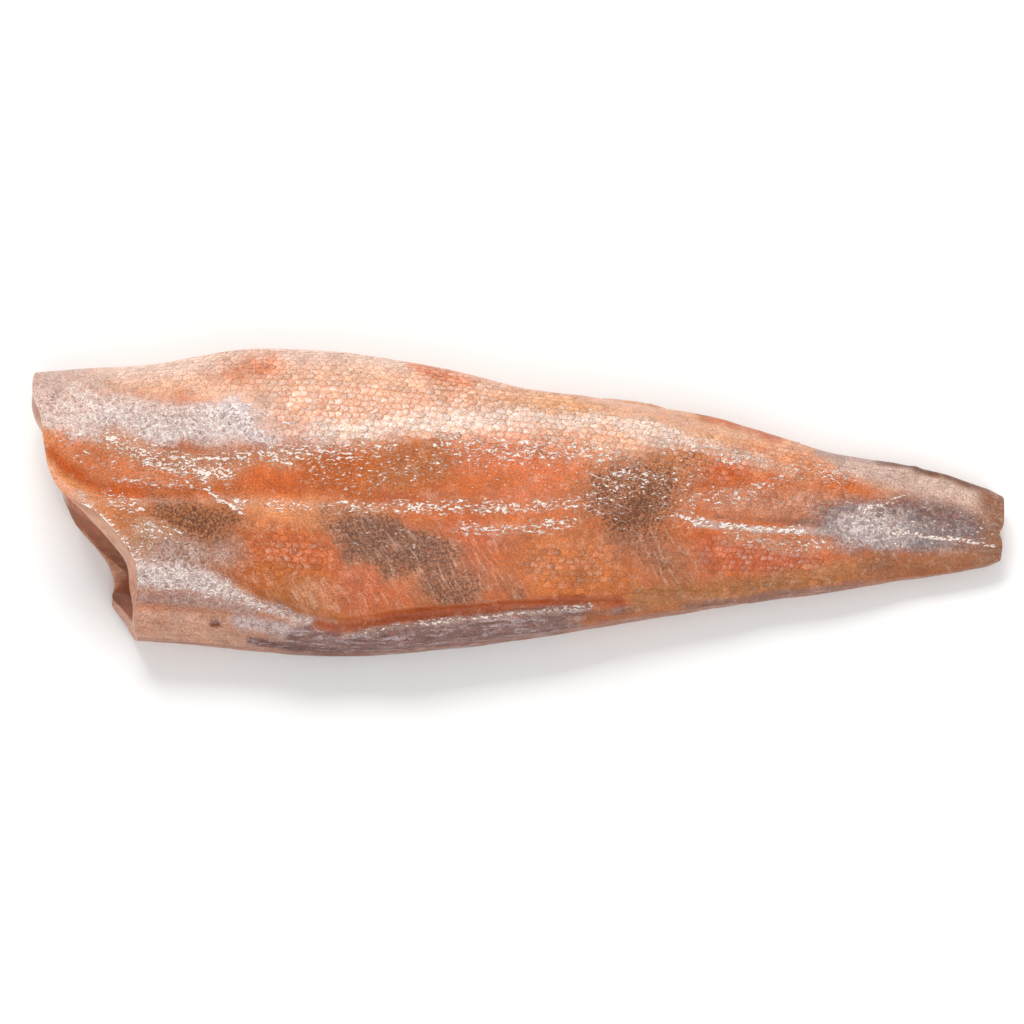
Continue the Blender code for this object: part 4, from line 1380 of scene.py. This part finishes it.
def flankStations(skin, columns, channels):  # the flank again, at even places along the fish
    stations = np.arange(*scales["ends"], scales["stationStep"])
    grid = np.zeros((len(stations), len(columns), channels.shape[2]))
    for place, j in enumerate(columns):
        for c in range(channels.shape[2]):
            grid[:, place, c] = np.interp(stations, skin[:, j, 0], channels[:, j, c])
    first = skin[0, columns, 0]
    return stations, grid, first


# Staggered rows that run along the fish, counted out from the side furrow.
def scaleSpots(stations, grid, first, home, rng):
    steps = np.linalg.norm(np.diff(grid[:, :, :3], axis=1), axis=2)
    run = np.concatenate([np.zeros((len(stations), 1)), np.cumsum(steps, axis=1)], axis=1)
    run -= run[:, home:home + 1]
    stationStep = scales["stationStep"]
    count = np.concatenate([[0.0], np.cumsum(stationStep / scalePitch(stations[:-1]))])
    found = []
    rowLimit = int(scales["reachUp"] / rowPitch(np.array([scales["ends"][1]])).min())
    for row in range(-rowLimit, rowLimit + 1):
        numbers = np.arange(1, count[-1] - 1) + 0.5 * (row % 2)
        xs = np.interp(numbers, count, stations)
        xs = xs + rng.normal(0, scales["shift"], len(xs)) * scalePitch(xs)
        index = np.clip(np.rint((xs - stations[0]) / stationStep).astype(int), 0, len(stations) - 1)
        away = (row + rng.normal(0, scales["shift"], len(xs))) * rowPitch(xs)
        for x, i, s in zip(xs, index, away):
            if not run[i, 0] < s < run[i, -1]:
                continue
            j = np.searchsorted(run[i], s) - 1
            share = (s - run[i, j]) / max(run[i, j + 1] - run[i, j], 1e-9)
            if x < first[j] + scales["fromEdge"]:
                continue
            found.append(grid[i, j] * (1 - share) + grid[i, j + 1] * share)
    return np.array(found)


def platePoints():  # one scale: a low dome with a rounded tail end, 1 long, 1 wide and 1 high
    points, rim = [(0.05, 0.0, 1.0)], [0.25]
    sides = scales["sides"]
    for radius, height, edge in ((0.32, 0.86, 0.55), (0.50, 0.10, 1.0)):
        for k in range(sides):
            turn = 2 * math.pi * k / sides
            point = np.array([math.cos(turn), math.sin(turn)])
            point[0] = point[0] * (1.0 if point[0] > 0 else 1.12)
            points.append((*(point * radius), height))
            rim.append(edge if point[0] > -0.3 else 0.5 * edge)
    points.append((0.0, 0.0, -2.0))
    rim.append(0.6)
    faces = []
    for k in range(sides):
        following = (k + 1) % sides
        faces.append((0, 1 + k, 1 + following))
        faces.append((1 + k, 1 + sides + k, 1 + sides + following, 1 + following))
        faces.append((1 + sides + following, 1 + sides + k, 1 + 2 * sides))
    return points, faces, rim


def makePlate(material):
    points, faces, rim = platePoints()
    mesh = bpy.data.meshes.new("scalePlate")
    mesh.from_pydata(points, [], faces)
    mesh.shade_smooth()
    sharpen(mesh, 1 + scales["sides"], scales["sides"])
    putAttribute(mesh, "rim", np.array(rim))
    mesh.materials.append(material)
    return addObject("scalePlate", mesh)


def scaleTree(material):
    tree = bpy.data.node_groups.new("scalesOnSkin", "GeometryNodeTree")
    sockets = {}
    tree.interface.new_socket("Geometry", in_out="INPUT", socket_type="NodeSocketGeometry")
    for name, kind, value in (
        ("Plate", "NodeSocketObject", None), ("Height", "NodeSocketFloat", scales["height"]),
        ("Lift", "NodeSocketFloat", math.radians(scales["lift"])),
        ("Turn Spread", "NodeSocketFloat", math.radians(scales["turnSpread"])),
        ("Size Spread", "NodeSocketFloat", scales["sizeSpread"]), ("Seed", "NodeSocketInt", seeds["scales"]),
    ):
        socket = tree.interface.new_socket(name, in_out="INPUT", socket_type=kind)
        if value is not None:
            socket.default_value = value
        sockets[name] = socket.identifier
    tree.interface.new_socket("Geometry", in_out="OUTPUT", socket_type="NodeSocketGeometry")
    nodes, links = tree.nodes, tree.links
    start, end = nodes.new("NodeGroupInput"), nodes.new("NodeGroupOutput")

    def named(name, kind):
        node = nodes.new("GeometryNodeInputNamedAttribute")
        node.data_type = kind
        node.inputs["Name"].default_value = name
        return node.outputs["Attribute"]

    def randomBetween(low, high, offset):
        node = nodes.new("FunctionNodeRandomValue")
        for socket, value in ((node.inputs[2], low), (node.inputs[3], high)):
            if isinstance(value, (int, float)):
                socket.default_value = value
            else:
                links.new(value, socket)
        links.new(calculate("ADD", start.outputs["Seed"], offset), node.inputs["Seed"])
        return node.outputs[1]

    def calculate(operation, first, second):
        return mathNode(nodes, links, operation, first, second)

    upright = nodes.new("FunctionNodeAlignRotationToVector")
    upright.axis = "Z"
    links.new(named("outward", "FLOAT_VECTOR"), upright.inputs["Vector"])
    heading = nodes.new("FunctionNodeAlignRotationToVector")
    heading.axis = "X"
    heading.pivot_axis = "Z"
    links.new(upright.outputs[0], heading.inputs["Rotation"])
    links.new(named("tailward", "FLOAT_VECTOR"), heading.inputs["Vector"])
    spread = start.outputs["Turn Spread"]
    turn = randomBetween(calculate("MULTIPLY", spread, -1.0), spread, 1)
    turn = calculate("ADD", named("turn", "FLOAT"), turn)
    lift = calculate("MULTIPLY", start.outputs["Lift"], named("stand", "FLOAT"))
    lift = calculate("MULTIPLY", lift, randomBetween(*scales["liftSpread"], 2))
    about = nodes.new("ShaderNodeCombineXYZ")
    links.new(turn, about.inputs["Z"])
    links.new(lift, about.inputs["Y"])
    asRotation = nodes.new("FunctionNodeEulerToRotation")
    links.new(about.outputs[0], asRotation.inputs[0])
    turned = nodes.new("FunctionNodeRotateRotation")
    turned.rotation_space = "LOCAL"
    links.new(heading.outputs[0], turned.inputs[0])
    links.new(asRotation.outputs[0], turned.inputs[1])
    sizeSpread = start.outputs["Size Spread"]
    grow = randomBetween(calculate("SUBTRACT", 1.0, sizeSpread), calculate("ADD", 1.0, sizeSpread), 3)
    size = nodes.new("ShaderNodeCombineXYZ")
    links.new(calculate("MULTIPLY", named("long", "FLOAT"), grow), size.inputs["X"])
    links.new(calculate("MULTIPLY", named("wide", "FLOAT"), grow), size.inputs["Y"])
    links.new(calculate("MULTIPLY", start.outputs["Height"], named("stand", "FLOAT")), size.inputs["Z"])
    plate = nodes.new("GeometryNodeObjectInfo")
    links.new(start.outputs["Plate"], plate.inputs["Object"])
    place = nodes.new("GeometryNodeInstanceOnPoints")
    links.new(start.outputs["Geometry"], place.inputs["Points"])
    links.new(plate.outputs["Geometry"], place.inputs["Instance"])
    links.new(turned.outputs[0], place.inputs["Rotation"])
    links.new(size.outputs[0], place.inputs["Scale"])
    realize = nodes.new("GeometryNodeRealizeInstances")
    links.new(place.outputs[0], realize.inputs[0])
    setMaterial = nodes.new("GeometryNodeSetMaterial")
    setMaterial.inputs["Material"].default_value = material
    links.new(realize.outputs[0], setMaterial.inputs["Geometry"])
    links.new(setMaterial.outputs[0], end.inputs[0])
    return tree, sockets


def growPieces(name, spots, plate, tree, sockets, settings):
    mesh = bpy.data.meshes.new(name + "Spots")
    mesh.from_pydata(spots["at"].tolist(), [], [])
    for key in ("outward", "tailward"):
        attribute = mesh.attributes.new(key, "FLOAT_VECTOR", "POINT")
        attribute.data.foreach_set("vector", spots[key].astype(np.float32).ravel())
    for key in ("turn", "stand", "long", "wide", "tint", "bar", "paintedGlint", "glow", "show"):
        putAttribute(mesh, key, spots[key])
    guide = addObject(name + "Guide", mesh)
    modifier = guide.modifiers.new("grow", "NODES")
    modifier.node_group = tree
    modifier[sockets["Plate"]] = plate
    for key, value in settings.items():
        modifier[sockets[key]] = value
    evaluated = guide.evaluated_get(bpy.context.evaluated_depsgraph_get())
    grown = bpy.data.meshes.new_from_object(evaluated)
    guide.modifiers.remove(modifier)
    bpy.data.objects.remove(guide)
    for key in ("outward", "tailward", "turn", "stand", "long", "wide"):
        if grown.attributes.get(key):
            grown.attributes.remove(grown.attributes[key])
    piece = addObject(name, grown)
    print(name, len(spots["at"]), "spots,", len(grown.polygons), "faces")
    return piece


# Position, normal and tint take three channels each; bar, the painted glints and how scaly the skin is
# follow as 9, 10 and 11.
def spotValues(found, rng):
    slope, offset, least, most = scales["standing"]
    showStart, showRun, leastShow = scales["showing"]
    glowStart, glowSlope, mostGlow = scales["glowing"]
    count, pitch, scaly = len(found), scalePitch(found[:, 0]), found[:, 11]
    shade = 1 + rng.normal(0, scales["shadeSpread"], (count, 1))
    # how much painted highlight each plate's middle gets
    glow = (scaly - glowStart) * glowSlope * rng.uniform(*scales["glowSpread"], count)
    stand = np.clip(slope * scaly + offset, least, most) * rng.uniform(*scales["standSpread"], count)
    return {
        "at": found[:, :3],
        "outward": found[:, 3:6] / np.linalg.norm(found[:, 3:6], axis=1, keepdims=True),
        "tailward": np.tile(np.array([1.0, 0.0, 0.0]), (count, 1)),
        "tint": np.clip(found[:, 6:9] * shade * scales["paler"], 0.01, 1.0),
        "bar": scales["barShare"] * found[:, 9],
        "paintedGlint": found[:, 10],
        "glow": np.clip(glow, 0.0, mostGlow),
        "stand": stand,
        "show": np.clip((scaly - showStart) / showRun, leastShow, 1.0),
        "long": pitch * scales["length"],
        "wide": pitch * scales["rowShare"] * scales["width"],
        "turn": rng.normal(0, scales["spotTurn"], count),
    }


def makeScales(skin, tint, looks, free, material):
    extras = np.stack([looks["bar"], looks["paintedGlint"], looks["scaly"] * free], axis=2)
    channels = np.concatenate([skin, gridNormals(skin), tint, extras], axis=2)
    rng = np.random.default_rng(seeds["scales"])
    plate = makePlate(material)
    tree, sockets = scaleTree(material)
    line = ringAngles()
    split, home = scales["sideSplit"], fineness["furrowHome"]
    sides = {"nearScales": (line < split, home), "farScales": (line > split, 2 * math.pi - home)}
    pieces = []
    for name, (onSide, sideHome) in sides.items():
        columns = np.where(onSide)[0]
        homePlace = int(np.argmin(np.abs(line[columns] - sideHome)))
        found = scaleSpots(*flankStations(skin, columns, channels), homePlace, rng)
        leastShown = scales["leastShown"] + rng.normal(0, scales["shownSpread"], len(found))
        found = found[found[:, 11] > leastShown]
        found = found[(np.abs(found[:, 5]) > scales["leastUp"]) & (found[:, 11] > scales["leastScaly"])]
        settings = {"Height": scales["height"], "Seed": seeds["scales"] + len(pieces)}
        pieces.append(growPieces(name, spotValues(found, rng), plate, tree, sockets, settings))
    bpy.data.objects.remove(plate)
    return pieces


# Stage
studio = {
    "floorHalf": 3.0,
    "floor": (0.90, 0.90, 0.90, 1),
    "floorRoughness": 0.9,
    "skyStrength": 0.50,
}
lights = {
    "key": {"at": (-0.16, 0.66, 0.80), "size": (0.55, 0.38), "power": 7.2, "tint": (1.0, 0.99, 0.97)},
    "top": {"at": (0.20, -0.62, 1.00), "size": (0.8, 0.8), "power": 4.8, "tint": (1.0, 1.0, 1.0)},
    "front": {"at": (0.35, -1.0, 0.60), "size": (0.9, 0.6), "power": 2.5, "tint": (1.0, 0.98, 0.96)},
}


def makeCamera():
    data = bpy.data.cameras.new("camera")
    data.lens = photo["lens"]
    data.sensor_width = photo["sensor"]
    data.clip_start, data.clip_end = 0.01, 20.0
    camera = bpy.data.objects.new("camera", data)
    tilt = math.radians(photo["elevation"])
    aim, far = photo["aim"], cameraDistance()
    camera.location = (aim[0], aim[1] - math.cos(tilt) * far, aim[2] + math.sin(tilt) * far)
    camera.rotation_euler = (math.radians(90) - tilt, 0.0, 0.0)
    bpy.context.scene.collection.objects.link(camera)
    bpy.context.scene.camera = camera


def makeStage():
    mesh = bpy.data.meshes.new("floor")
    half = studio["floorHalf"]
    floorCorners = [(-half, -half, 0), (half, -half, 0), (half, half, 0), (-half, half, 0)]
    mesh.from_pydata(floorCorners, [], [(0, 1, 2, 3)])
    material, _, _, shader = newMaterial("paleFloor")
    shader.inputs["Base Color"].default_value = studio["floor"]
    shader.inputs["Roughness"].default_value = studio["floorRoughness"]
    mesh.materials.append(material)
    floor = addObject("floor", mesh)
    world = bpy.data.worlds.new("studio")
    world.use_nodes = True
    background = world.node_tree.nodes["Background"]
    background.inputs["Color"].default_value = (1.0, 1.0, 1.0, 1)
    background.inputs["Strength"].default_value = studio["skyStrength"]
    bpy.context.scene.world = world
    for name, light in lights.items():
        data = bpy.data.lights.new(name, "AREA")
        data.shape = "RECTANGLE"
        data.size, data.size_y = light["size"]
        data.energy = light["power"]
        data.color = light["tint"]
        lamp = bpy.data.objects.new(name, data)
        lamp.location = light["at"]
        direction = -lamp.location.normalized()
        lamp.rotation_euler = direction.to_track_quat("-Z", "Y").to_euler()
        bpy.context.scene.collection.objects.link(lamp)
    bpy.context.scene.view_settings.view_transform = "Standard"


makeCamera()
makeStage()
skin, inner, middle, tint, looks, free = makeFish()
body = buildFishBody(skin, inner, middle, tint, looks)
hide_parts("fish_trunk")
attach(body, "root")
for piece in makeScales(skin, tint, looks, free, bpy.data.materials["smokedSkin"]):
    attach(piece, "root")
print("pieces made")
